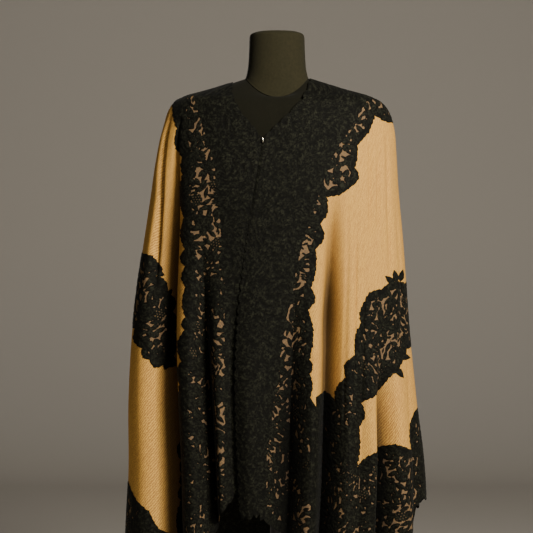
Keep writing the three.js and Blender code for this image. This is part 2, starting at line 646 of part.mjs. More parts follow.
const poleTop = COLLAR_TOP - COLLAR_DEEP - SEAM_GAP;
const poleFoot = BOSS_TOP + SEAM_GAP;
add("stand_collar", turned([
  [0, COLLAR_TOP - COLLAR_DEEP], [COLLAR_RADIUS - 8, COLLAR_TOP - COLLAR_DEEP],
  [COLLAR_RADIUS, COLLAR_TOP - COLLAR_DEEP + 8], [COLLAR_RADIUS, COLLAR_TOP], [0, COLLAR_TOP],
], 32), STEEL);
add("stand_pole", turned([
  [0, poleFoot], [POLE_RADIUS, poleFoot], [POLE_RADIUS, poleTop], [0, poleTop],
], 24), STEEL);
add("stand_base", turned([
  [0, 0], [BASE_RADIUS - 2, 0], [BASE_RADIUS, 2], [BASE_RADIUS, BASE_THICK - 6],
  [BASE_RADIUS - 6, BASE_THICK], [BOSS_RADIUS + 10, BASE_THICK + 4],
  [BOSS_RADIUS, BASE_THICK + 12], [BOSS_RADIUS - 6, BOSS_TOP], [0, BOSS_TOP],
], 40), STEEL);

// The pin lies across the tie of the two fronts, just clear of both
const pinLevel = levelWhere(0, (point) => point.z > PIN_TIE.z - PIN_LONG / 2, 0, 12);
const pinY = drape(0, pinLevel).y - LACE_OUT - LACE_WALL / 2 - SEAM_GAP - PIN_RADIUS;
add("shawl_pin", turned([
  [0, -PIN_LONG / 2], [PIN_RADIUS * 0.7, -PIN_LONG / 2 + 0.4], [PIN_RADIUS, -PIN_LONG / 2 + 1.2],
  [PIN_RADIUS, PIN_LONG / 2 - 1.2], [PIN_RADIUS * 0.7, PIN_LONG / 2 - 0.4], [0, PIN_LONG / 2],
], 12).translate(PIN_TIE.x, pinY, PIN_TIE.z), BRIGHT);

export default group;
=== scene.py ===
"""A wool shawl with black lace borders, pinned round a dress form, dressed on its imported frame.

Sizes are in millimetres and become metres where a mesh is made. The front faces -Y.
"""

import logging
import math
from collections.abc import Sequence
from dataclasses import dataclass, field, fields
from enum import Enum

import bmesh
import bpy
import numpy as np
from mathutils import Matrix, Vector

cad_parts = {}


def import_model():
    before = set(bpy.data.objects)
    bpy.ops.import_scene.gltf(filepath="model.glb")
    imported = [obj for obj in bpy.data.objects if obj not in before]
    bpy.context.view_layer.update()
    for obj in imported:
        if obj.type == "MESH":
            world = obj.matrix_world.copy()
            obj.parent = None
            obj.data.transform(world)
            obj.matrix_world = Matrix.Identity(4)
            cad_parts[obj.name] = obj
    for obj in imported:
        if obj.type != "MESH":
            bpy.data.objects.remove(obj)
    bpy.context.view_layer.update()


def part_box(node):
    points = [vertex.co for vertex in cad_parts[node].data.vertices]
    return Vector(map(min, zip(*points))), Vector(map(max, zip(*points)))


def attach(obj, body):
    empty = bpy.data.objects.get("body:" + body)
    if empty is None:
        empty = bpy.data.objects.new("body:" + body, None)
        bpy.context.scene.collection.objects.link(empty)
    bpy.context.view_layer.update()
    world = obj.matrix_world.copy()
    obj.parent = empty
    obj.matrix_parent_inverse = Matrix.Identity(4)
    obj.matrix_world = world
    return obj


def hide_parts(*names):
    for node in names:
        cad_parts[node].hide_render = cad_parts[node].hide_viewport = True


LOG = logging.getLogger("lace_shawl")
MM = 0.001
Columns = dict[str, np.ndarray]
Pair = tuple[float, float]
Triple = tuple[float, float, float]
Guide = Sequence[Pair]


def table(names: str, *rows: tuple[float, ...]) -> Columns:
    """Declares a dataclass field that holds a small table as named columns.

    Args:
        names: The columns' names, with spaces between.
        rows: The table's rows, in that order.

    Returns:
        The field, which gives one array of numbers for each name.
    """
    made = dict(zip(names.split(), np.array(rows, dtype=float).T, strict=True))
    return field(default_factory=lambda: made)


def smooth_step(value: np.ndarray, low: np.ndarray, high: np.ndarray) -> np.ndarray:
    """Eases from 0 at low to 1 at high.

    Args:
        value: Where to read the step.
        low: Where it starts.
        high: Where it ends.

    Returns:
        The eased share.
    """
    t = np.clip((value - low) / (high - low), 0, 1)
    return t * t * (3 - 2 * t)


def spline(values: np.ndarray, at: np.ndarray) -> np.ndarray:
    """Reads a column between its rows along a smooth curve.

    Args:
        values: The column.
        at: Places counted in rows.

    Returns:
        The column's values there.
    """
    last = len(values) - 1
    i = np.clip(np.floor(at).astype(int), 0, last - 1)
    f = at - i
    a, b, c, d = (values[np.clip(i + k, 0, last)] for k in (-1, 0, 1, 2))
    return b + 0.5 * f * (c - a + f * (2 * a - 5 * b + 4 * c - d + f * (3 * (b - c) + d - a)))


def oval(part: dict, angle: np.ndarray, across: np.ndarray, along: np.ndarray,
         squareness: float) -> tuple[np.ndarray, np.ndarray, np.ndarray]:
    """Places on a slightly square oval section that dips in front and rises behind.

    Args:
        part: The section's height, dip and rise.
        angle: Angles from the front towards +X.
        across: Half its width at each.
        along: Half its depth at each.
        squareness: How far it fills out between its axes.

    Returns:
        The places' x, y and z.
    """
    sin, cos = np.sin(angle), np.cos(angle)
    x = across * sin * (1 + squareness * cos**2)
    y = -along * cos * (1 + squareness * sin**2)
    return x, y, part["z"] + np.where(cos > 0, -part["dip"], part["rise"]) * cos**2


def running_length(points: np.ndarray, axis: int) -> np.ndarray:
    """Length along rows of points, from the first of each row.

    Args:
        points: Points, with their three numbers last.
        axis: The axis that runs along the row.

    Returns:
        The length at each point.
    """
    steps = np.linalg.norm(np.diff(points, axis=axis), axis=-1)
    shape = list(steps.shape)
    shape[axis] = 1
    return np.concatenate([np.zeros(shape), np.cumsum(steps, axis=axis)], axis=axis)


def linear(hex_colour: str) -> tuple[float, float, float, float]:
    """Turns an sRGB hex colour to linear light.

    Args:
        hex_colour: Six hex digits.

    Returns:
        Red, green, blue and an alpha of 1.
    """
    parts = (int(hex_colour[k : k + 2], 16) / 255 for k in (0, 2, 4))
    light = [p / 12.92 if p <= 0.04045 else ((p + 0.055) / 1.055) ** 2.4 for p in parts]
    return (light[0], light[1], light[2], 1.0)


def add_node(
    tree: bpy.types.NodeTree,
    kind: str,
    sockets: dict | None = None,
    links: dict | None = None,
    **settings: object,
) -> bpy.types.Node:
    """Adds a node with its settings and links.

    Args:
        tree: The material's node tree.
        kind: The node's type name.
        sockets: Values by input name or number.
        links: For an input, the node and output that feed it.
        settings: The node's own properties.

    Returns:
        The new node.
    """
    node = tree.nodes.new(kind)
    for name, value in settings.items():
        setattr(node, name, value)
    for name, value in (sockets or {}).items():
        node.inputs[name].default_value = value
    for name, (source, output) in (links or {}).items():
        tree.links.new(source.outputs[output], node.inputs[name])
    return node


def wave_scale(period_mm: float) -> float:
    """The scale of a wave texture whose bands are this far apart; the node counts 20 to a turn."""
    return math.tau / (20 * period_mm * MM)


def new_material(name: str) -> tuple[bpy.types.Material, bpy.types.NodeTree]:
    """Starts an empty node material.

    Args:
        name: The material's name.

    Returns:
        The material and its node tree.
    """
    material = bpy.data.materials.new(name)
    material.use_nodes = True
    material.node_tree.nodes.clear()
    return material, material.node_tree


def place(mesh: bpy.types.Mesh, name: str, material: bpy.types.Material) -> bpy.types.Object:
    """Puts a finished mesh into the scene at the origin, smoothly shaded.

    Args:
        mesh: The mesh, in metres.
        name: The piece's name.
        material: Its finish.

    Returns:
        The new object.
    """
    mesh.name = name
    mesh.materials.append(material)
    mesh.polygons.foreach_set("use_smooth", np.ones(len(mesh.polygons), bool))
    piece = bpy.data.objects.new(name, mesh)
    bpy.context.scene.collection.objects.link(piece)
    return piece


def mesh_of(bm: bmesh.types.BMesh, unit: float = MM) -> bpy.types.Mesh:
    """Turns a bmesh into a mesh in metres.

    Args:
        bm: The bmesh, which is freed.
        unit: Its unit in metres.

    Returns:
        The new mesh.
    """
    bmesh.ops.scale(bm, vec=(unit, unit, unit), verts=bm.verts)
    mesh = bpy.data.meshes.new("new")
    bm.to_mesh(mesh)
    bm.free()
    return mesh


def settle(piece: bpy.types.Object, slot: str, *nodes: str) -> None:
    """Hangs a finished piece on the frame in place of its solids.

    Args:
        piece: The piece.
        slot: The record's material slot; not used.
        nodes: The solids that it stands for.
    """
    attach(piece, "root")
    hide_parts(*nodes)
    LOG.info("%s: %d faces", piece.name, len(piece.data.polygons))


@dataclass(frozen=True)
class CamelTwill:
    """Brushed camel wool twill: dull and warm, with a soft nap over fine slanting ribs.

    It is greyer where a net of black threads lies on it. It is darker between its ribs, partly the
    weave's grain and partly painted shade in the ribs' grooves, and painted shade darkens it deep
    in folds.
    """

    name: str = "camel wool twill, brushed"
    bright: str = "CFA24B"
    rosy: str = "C4954F"
    # Darker tone mixed in by the grain: partly the weave's own grain, partly painted shade in the
    # ribs' grooves.
    grain_and_groove_shade: str = "8A6337"
    net: str = "51463C"
    # Painted shade: the colour that deep folds are darkened towards.
    fold_shade_tone: str = "30261E"
    rib_mm: float = 3.0
    fleck_mm: float = 4.0
    cloud_mm: float = 42.0
    stretch: float = 0.3
    net_mm: float = 2.6
    slant_deg: float = 62.0

    def make(self) -> bpy.types.Material:
        """Builds the material; the real ribs are about 1 mm apart and are drawn coarser to show.

        Returns:
            The wool's material.
        """
        material, tree = new_material(self.name)
        flat = add_node(tree, "ShaderNodeUVMap", uv_map="cloth")
        turned = add_node(tree, "ShaderNodeMapping",
                          {"Rotation": (0, 0, math.radians(-self.slant_deg))},
                          {"Vector": (flat, "UV")})
        drawn = add_node(tree, "ShaderNodeMapping", {"Scale": (self.stretch, 1, 1)},
                         {"Vector": (turned, "Vector")})
        ribs = add_node(tree, "ShaderNodeTexWave",
                        {"Scale": wave_scale(self.rib_mm), "Distortion": 5.0, "Detail Scale": 2.5},
                        {"Vector": (turned, "Vector")}, bands_direction="Y")
        flecks, clouds = (
            add_node(tree, "ShaderNodeTexNoise", {"Scale": 1 / (size_mm * MM), "Detail": detail},
                     {"Vector": (drawn, "Vector")})
            for size_mm, detail in ((self.fleck_mm, 3.0), (self.cloud_mm, 2.0)))
        colour = add_node(tree, "ShaderNodeMix", {6: linear(self.bright), 7: linear(self.rosy)},
                          {0: (clouds, "Fac")}, data_type="RGBA")
        grain = add_node(tree, "ShaderNodeMath", links={0: (ribs, "Fac"), 1: (flecks, "Fac")},
                         operation="MULTIPLY")
        # Darker between the ribs: partly the weave's grain, partly painted shade in the ribs'
        # grooves.
        grain_and_groove_share = add_node(tree, "ShaderNodeMapRange",
                           {"From Min": 0.05, "From Max": 0.45, "To Min": 0.8, "To Max": 0.0},
                           {"Value": (grain, 0)})
        meshes = add_node(tree, "ShaderNodeTexVoronoi", {"Scale": 1 / (self.net_mm * MM)},
                          {"Vector": (flat, "UV")}, feature="DISTANCE_TO_EDGE")
        threads = add_node(tree, "ShaderNodeMapRange",
                           {"From Min": 0.1, "From Max": 0.22, "To Min": 0.92, "To Max": 0.7},
                           {"Value": (meshes, "Distance")})
        laid = add_node(tree, "ShaderNodeAttribute", attribute_name="net")
        netted = add_node(tree, "ShaderNodeMath", links={0: (threads, 0), 1: (laid, "Fac")},
                          operation="MULTIPLY")
        # Painted shade: deep folds are darkened towards the fold shade tone by the drape's fold
        # depth.
        fold_shade = add_node(tree, "ShaderNodeAttribute", attribute_name="fold_shade")
        coats = ((self.grain_and_groove_shade, grain_and_groove_share, 0), (self.net, netted, 0), (self.fold_shade_tone, fold_shade, "Fac"))
        for tone, share, output in coats:
            colour = add_node(tree, "ShaderNodeMix", {7: linear(tone)},
                              {0: (share, output), 6: (colour, 2)}, data_type="RGBA")
        bump = add_node(tree, "ShaderNodeBump", {"Strength": 0.45, "Distance": 0.0007},
                        {"Height": (grain, 0)})
        cloth = add_node(tree, "ShaderNodeBsdfPrincipled",
                         {"Roughness": 0.95, "Specular IOR Level": 0.08, "Sheen Weight": 0.1,
                          "Sheen Roughness": 0.5, "Sheen Tint": linear(self.bright)},
                         {"Base Color": (colour, 2), "Normal": (bump, "Normal")})
        add_node(tree, "ShaderNodeOutputMaterial", links={"Surface": (cloth, "BSDF")})
        return material


@dataclass(frozen=True)
class CordedLace:
    """Black corded lace, thick and matt: its raised stitches are lighter and greenish, partly the
    threads' mottle and partly a painted sheen, and painted shade darkens it deep in folds.
    """

    name: str = "black corded cotton lace"
    # The stitches' lighter colour: partly the threads' own mottle, partly a painted sheen on raised
    # stitches.
    ground: str = "060604"
    stitch: str = "292A1F"
    stitch_mm: float = 2.6
    mottle_mm: float = 9.0
    # Painted shade: the colour that deep folds are darkened towards.
    fold_shade_tone: str = "020201"

    def make(self) -> bpy.types.Material:
        """Builds the material; stitches under a millimetre long are drawn coarser to show.

        Returns:
            The lace's material.
        """
        material, tree = new_material(self.name)
        flat = add_node(tree, "ShaderNodeUVMap", uv_map="cloth")
        stitches = add_node(tree, "ShaderNodeTexVoronoi",
                            {"Scale": 1 / (self.stitch_mm * MM), "Randomness": 0.9},
                            {"Vector": (flat, "UV")}, feature="SMOOTH_F1")
        mottle = add_node(tree, "ShaderNodeTexNoise",
                          {"Scale": 1 / (self.mottle_mm * MM), "Detail": 4.0, "Roughness": 0.65},
                          {"Vector": (flat, "UV")})
        lifted = add_node(tree, "ShaderNodeMath",
                          links={0: (stitches, "Distance"), 1: (mottle, "Fac")},
                          operation="MULTIPLY")
        share = add_node(tree, "ShaderNodeMapRange", {"From Min": 0.14, "From Max": 0.48},
                         {"Value": (lifted, 0)})
        raised = add_node(tree, "ShaderNodeAttribute", attribute_name="raised")
        # Painted sheen: raised stitches are painted lighter, towards the stitch colour.
        painted_sheen_share = add_node(tree, "ShaderNodeMath", links={0: (share, 0), 1: (raised, "Fac")},
                          operation="MULTIPLY")
        colour = add_node(tree, "ShaderNodeMix", {6: linear(self.ground), 7: linear(self.stitch)},
                          {0: (painted_sheen_share, 0)}, data_type="RGBA")
        # Painted shade: deep folds are darkened by the drape's fold depth.
        fold_shade = add_node(tree, "ShaderNodeAttribute", attribute_name="fold_shade")
        folded = add_node(tree, "ShaderNodeMix", {7: linear(self.fold_shade_tone)},
                          {0: (fold_shade, "Fac"), 6: (colour, 2)}, data_type="RGBA")
        bump = add_node(tree, "ShaderNodeBump", {"Strength": 0.6, "Distance": 0.0008},
                        {"Height": (lifted, 0)})
        cloth = add_node(tree, "ShaderNodeBsdfPrincipled",
                         {"Roughness": 0.8, "Specular IOR Level": 0.08, "Sheen Weight": 0.02,
                          "Sheen Roughness": 0.45},
                         {"Base Color": (folded, 2), "Normal": (bump, "Normal")})
        add_node(tree, "ShaderNodeOutputMaterial", links={"Surface": (cloth, "BSDF")})
        return material


@dataclass(frozen=True)
class CoverCloth:
    """Knitted cover drawn tight over padding: dull, with fine upright ribs and a faint fuzz."""

    name: str
    colour: str
    lifted: str
    rib_mm: float = 2.2
    fuzz_mm: float = 5.0

    def make(self) -> bpy.types.Material:
        """Builds the material; ribs of half a millimetre are drawn coarser to show.

        Returns:
            The cover's material.
        """
        material, tree = new_material(self.name)
        spot = add_node(tree, "ShaderNodeTexCoord")
        ribs = add_node(tree, "ShaderNodeTexWave",
                        {"Scale": wave_scale(self.rib_mm), "Distortion": 1.5},
                        {"Vector": (spot, "Object")}, bands_direction="X")
        fuzz = add_node(tree, "ShaderNodeTexNoise",
                        {"Scale": 1 / (self.fuzz_mm * MM), "Detail": 5.0, "Roughness": 0.7},
                        {"Vector": (spot, "Object")})
        grain = add_node(tree, "ShaderNodeMath", links={0: (ribs, "Fac"), 1: (fuzz, "Fac")},
                         operation="MULTIPLY")
        colour = add_node(tree, "ShaderNodeMix", {6: linear(self.colour), 7: linear(self.lifted)},
                          {0: (fuzz, "Fac")}, data_type="RGBA")
        bump = add_node(tree, "ShaderNodeBump", {"Strength": 0.3, "Distance": 0.0005},
                        {"Height": (grain, 0)})
        cloth = add_node(tree, "ShaderNodeBsdfPrincipled",
                         {"Roughness": 0.9, "Specular IOR Level": 0.06, "Sheen Weight": 0.02},
                         {"Base Color": (colour, 2), "Normal": (bump, "Normal")})
        add_node(tree, "ShaderNodeOutputMaterial", links={"Surface": (cloth, "BSDF")})
        return material


@dataclass(frozen=True)
class Metal:
    """Metal with a slightly uneven polish, bare or under satin paint."""

    name: str
    colour: str
    metallic: float
    dull: float
    polish: float
    grain_mm: float = 6.0

    def make(self) -> bpy.types.Material:
        """Builds the material, its shine broken up at the grain's size.

        Returns:
            The metal's material.
        """
        material, tree = new_material(self.name)
        spot = add_node(tree, "ShaderNodeTexCoord")
        grain = add_node(tree, "ShaderNodeTexNoise",
                         {"Scale": 1 / (self.grain_mm * MM), "Detail": 4.0},
                         {"Vector": (spot, "Object")})
        rough = add_node(tree, "ShaderNodeMapRange", {"To Min": self.polish, "To Max": self.dull},
                         {"Value": (grain, "Fac")})
        metal = add_node(tree, "ShaderNodeBsdfPrincipled",
                         {"Base Color": linear(self.colour), "Metallic": self.metallic},
                         {"Roughness": (rough, 0)})
        add_node(tree, "ShaderNodeOutputMaterial", links={"Surface": (metal, "BSDF")})
        return material


@dataclass
class Drape:
    """The hanging form of the shawl: the middle of its wool, from fold to fold round the body."""

    squareness: float = 0.08
    fold_top: float = 1290
    fold_hem: float = 560
    past_hem: float = 1.2
    round_ridge: float = 0.34
    round_open: float = 0.62
    open_spans: tuple[int, ...] = (0, 1, 2, 3, 4, 5, 6, 7, 8, 28, 29, 30)
    crease_top: float = 1345
    crease_ease: float = 70
    crease_in: float = 0.35
    crease_out: float = 0.7
    # Faint waves over all the cloth: depth, turn to a fold, and height to a turn of one radian.
    waver: tuple[Triple, ...] = ((0.5, 2.3, 61), (0.4, 1.1, -37))
    # Painted shade deep in folds: its largest share, and the fold depths in mm over which it grows.
    shade: float = 0.84
    shade_from: Pair = (3.0, 34.0)
    # Oval sections down the drape: height, dip in front, rise behind, half widths, half depths.
    sections: Columns = table(
        "z dip rise left right front back",
        (1402, 42, 26, 64, 64, 62, 66),
        (1392, 31, 22, 95, 95, 72, 78),
        (1378, 21, 16, 140, 140, 82, 89),
        (1362, 10, 8, 193, 193, 91, 99),
        (1341, 4, 3, 215, 219, 98, 106),
        (1306, 0, 0, 226, 232, 107, 111),
        (1255, 0, 0, 237, 237, 119, 114),
        (1170, 0, 0, 250, 243, 136, 118),
        (1080, 0, 0, 263, 251, 143, 124),
        (985, 0, 0, 275, 258, 147, 130),
        (880, 0, 0, 284, 263, 151, 137),
        (760, 0, 0, 288, 273, 157, 144),
        (640, 0, 0, 289, 285, 162, 150),
        (520, 0, 0, 294, 291, 166, 154),
        (380, 0, 0, 299, 295, 170, 158),
    )
    # Fold lines round the body: angles at top and hem with the bow between, how far each stands
    # out or in at last, the height where that starts and the drop that it grows over.
    folds: Columns = table(
        "top bow hem depth start reach",
        (-6.5, -5, -13.2, 5, 1200, 500),
        (-2, -4, -9, 16, 1150, 500),
        (9, 0, 3.9, -38, 1080, 460),
        (18, 0, 10.9, 14, 1080, 450),
        (27, 0, 16.9, -42, 1140, 300),
        (36, 0, 24.5, 13, 1100, 450),
        (42, 0, 30, 2, 1100, 450),
        (48, 0, 35.5, 13, 1000, 350),
        (56, 0, 42.3, -42, 880, 280),
        (67, 0, 53, 12, 950, 400),
        (79, 0, 67, -14, 900, 400),
        (92, 0, 83, 8, 1000, 400),
        (104, 0, 99, -26, 1000, 450),
        (116, 0, 112, 16, 1050, 450),
        (128, 0, 125, -30, 1080, 480),
        (141, 0, 139, 18, 1100, 500),
        (154, 0, 152, -30, 1060, 480),
        (167, 0, 166, 18, 1040, 480),
        (180, 0, 180, -26, 1020, 480),
        (193, 0, 194, 18, 1050, 480),
        (206, 0, 208, -32, 1080, 480),
        (219, 0, 221, 18, 1100, 500),
        (232, 0, 235, -28, 1060, 480),
        (245, 0, 248, 14, 1050, 450),
        (256, 0, 261, -20, 1000, 450),
        (270, 0, 276, 4, 1000, 400),
        (290, 0, 300, 15, 1250, 450),
        (304.5, 0, 316.5, -66, 1330, 330),
        (320, 0, 329.4, 14, 1150, 450),
        (326, 0, 337, -36, 1120, 340),
        (334, 0, 341, 12, 1080, 420),
        (352, -5, 345, -4, 1200, 500),
    )
    # Soft creases: place from fold to fold at top and foot, their heights, width and depth.
    creases: Columns = table(
        "at foot_at top foot wide depth",
        (27.0, 27.0, 1450, 150, 0.13, -26.0),
        (26.74, 26.72, 1010, 150, 0.2, -16.0),
        (27.32, 27.3, 1040, 150, 0.3, -12.0),
        (25.94, 26.44, 1440, 940, 0.13, -21.0),
        (25.7, 25.9, 1400, 1150, 0.5, 5.0),
        (3.92, 3.9, 1200, 850, 0.36, -17.0),
        (3.95, 3.95, 1000, 150, 0.36, -5.0),
        (8.1, 8.1, 980, 200, 0.6, -18.0),
        (4.74, 4.76, 1180, 640, 0.06, -3.5),
        (5.42, 5.36, 1130, 760, 0.12, -4.0),
        (6.3, 6.1, 1010, 700, 0.14, -3.5),
        (7.0, 6.8, 1290, 1050, 0.25, -4.5),
        (7.9, 7.55, 1290, 1060, 0.2, -4.0),
        (8.75, 8.55, 1320, 960, 0.2, -4.5),
        (9.5, 9.6, 1200, 760, 0.2, -2.5),
        (13.5, 13.4, 1250, 820, 0.2, -3.0),
        (15.4, 15.5, 1180, 700, 0.14, -2.2),
        (17.6, 17.5, 1260, 900, 0.22, -3.0),
        (19.5, 19.6, 1130, 640, 0.15, -2.0),
        (21.4, 21.5, 1240, 860, 0.2, -3.0),
        (23.5, 23.3, 1190, 720, 0.2, -2.6),
    )
    # Height of the hem by the angle from the front.
    hem: Columns = table(
        "at z",
        (-14, 551),
        (-5, 548),
        (4, 505),
        (12, 470),
        (25, 445),
        (45, 425),
        (63, 432),
        (67, 500),
        (70, 556),
        (76, 568),
        (95, 556),
        (125, 510),
        (152, 462),
        (180, 442),
        (208, 462),
        (235, 505),
        (262, 520),
        (280, 470),
        (300, 440),
        (320, 438),
        (331, 470),
        (338, 540),
        (346, 597),
    )
    # Edge of the neck opening as seen from the front.
    neck: Columns = table(
        "x z",
        (-88, 1398),
        (-86, 1362),
        (-71, 1327),
        (-49, 1302),
        (-29, 1274),
        (-5, 1299),
        (24, 1327),
        (46, 1352),
        (59, 1381),
        (67, 1411),
    )
    neck_left: float = 88
    neck_back: float = 74
    neck_right: float = 67
    halvings: int = 30

    @property
    def last_fold(self) -> int:
        """Number of the last fold line, at the left front's free edge."""
        return len(self.folds["top"]) - 1

    @property
    def last_level(self) -> int:
        """Number of the lowest section."""
        return len(self.sections["z"]) - 1

    def fold_line(self, k: np.ndarray, z: np.ndarray) -> tuple[np.ndarray, np.ndarray]:
        """Where fold lines run at a height, and how far they stand out there.

        Args:
            k: Numbers of the fold lines.
            z: Heights.

        Returns:
            The angle from the front in degrees, and the reach.
        """
        row = {name: values[k] for name, values in self.folds.items()}
        down = np.clip((self.fold_top - z) / (self.fold_top - self.fold_hem), 0, self.past_hem)
        angle = row["top"] + (row["hem"] - row["top"]) * down
        angle = angle + row["bow"] * np.sin(np.pi * np.minimum(down, 1))
        grown = 1 - smooth_step(z, row["start"] - row["reach"], row["start"])
        return angle, row["depth"] * grown

    def crease_depth(self, s: np.ndarray, z: np.ndarray) -> np.ndarray:
        """How far the soft creases press the cloth in or out.

        Args:
            s: Places from fold to fold.
            z: Heights.

        Returns:
            The distance along the way out.
        """
        depth = sum(deep * np.sin(turn * s + z / long) for deep, turn, long in self.waver)
        for at, foot_at, top, foot, wide, deep in zip(*self.creases.values(), strict=True):
            down = np.clip((top - z) / (top - foot), 0, 1)
            middle = at + (foot_at - at) * down
            shown = smooth_step(down, 0.0, self.crease_in)
            shown = shown * (1 - smooth_step(down, self.crease_out, 1.0))
            depth = depth + deep * shown * np.exp(-(((s - middle) / wide) ** 2))
        return depth

    def points(self, s: np.ndarray, level: np.ndarray, folded: float = 1.0) -> np.ndarray:
        """Points of the wool's middle.

        Args:
            s: Places from fold to fold, from the right front's edge round to the left's.
            level: Places from section to section, from the neck down.
            folded: The share of the folds' depth that the cloth takes up.

        Returns:
            Points, with their three numbers last.
        """
        s, level = np.broadcast_arrays(np.asarray(s, float), np.asarray(level, float))
        part = {name: spline(values, level) for name, values in self.sections.items()}
        i = np.clip(np.floor(s).astype(int), 0, self.last_fold - 1)
        f = s - i
        here, here_out = self.fold_line(i, part["z"])
        following, following_out = self.fold_line(i + 1, part["z"])
        angle = np.radians(here + (following - here) * f)
        across = np.where(np.sin(angle) < 0, part["left"], part["right"])
        along = np.where(np.cos(angle) > 0, part["front"], part["back"])
        x, y, z = oval(part, angle, across, along, self.squareness)
        out_x, out_y = x / across**2, y / along**2
        size = np.hypot(out_x, out_y)
        near = 0.5 + 0.5 * np.cos(np.pi * np.clip(f, 0, 1))
        power = np.where(np.isin(i, self.open_spans), self.round_open, self.round_ridge)
        falling = following_out + (here_out - following_out) * near**power
        rising = here_out + (following_out - here_out) * (1 - near) ** power
        reach = np.where(here_out > following_out, falling, rising)
        creased = smooth_step(self.crease_top - z, 0, self.crease_ease)
        reach = folded * (reach + self.crease_depth(s, z) * creased)
        return np.stack([x + out_x / size * reach, y + out_y / size * reach, z], axis=-1)

    def fold_shade(self, s: np.ndarray, level: np.ndarray) -> np.ndarray:
        """How much painted shade a place gets for lying deep in a fold.

        Args:
            s: Places from fold to fold.
            level: Places from section to section.

        Returns:
            A share that grows with the depth below the unfolded cloth.
        """
        even, folded = (np.hypot(*np.moveaxis(self.points(s, level, share)[..., :2], -1, 0))
                        for share in (0.0, 1.0))
        return self.shade * smooth_step(even - folded, *self.shade_from)

    def even_levels(self, s: float, step: float, fine: int) -> tuple[np.ndarray, np.ndarray]:
        """Levels at even lengths down one line of the cloth.

        Args:
            s: The line's place from fold to fold.
            step: The length from one to the next.
            fine: How many places the length is measured at.

        Returns:
            The lengths from the top and their levels.
        """
        levels = np.linspace(0, self.last_level, fine)
        along = running_length(self.points(s, levels), 0)
        lengths = np.arange(0, along[-1], step)
        return lengths, np.interp(lengths, along, levels)

    def in_neck(self, point: np.ndarray) -> np.ndarray:
        """Tells which points lie in the neck opening.

        Args:
            point: Points, with their three numbers last.

        Returns:
            True inside the opening.
        """
        x, y, z = np.moveaxis(point, -1, 0)
        edge = np.interp(x, self.neck["x"], self.neck["z"])
        front = (x > self.neck["x"][0]) & (x < self.neck["x"][-1]) & (z > edge)
        away = np.hypot(x, y)
        side = np.where(x < 0, self.neck_left, self.neck_right)
        behind = away < self.neck_back + (side - self.neck_back) * np.abs(x) / away
        return np.where(y < 0, front, behind)

    def ends(self, s: np.ndarray) -> tuple[np.ndarray, np.ndarray]:
        """Levels at which the cloth starts at the neck and ends at the hem.

        Args:
            s: Places from fold to fold.

        Returns:
            The upper and the lower level at each place.
        """
        i = np.clip(np.floor(s).astype(int), 0, self.last_fold - 1)
        lines = self.folds["hem"]
        hem_z = np.interp(lines[i] + (lines[i + 1] - lines[i]) * (s - i), *self.hem.values())
        found = []
        for test in (self.in_neck, lambda p: p[..., 2] > hem_z):
            low = found[-1] if found else np.zeros_like(s)
            high = np.full_like(s, self.last_level)
            for _ in range(self.halvings):
                middle = (low + high) / 2
                above = test(self.points(s, middle))
                low, high = np.where(above, middle, low), np.where(above, high, middle)
            found.append(low)
        return found[0], found[1]


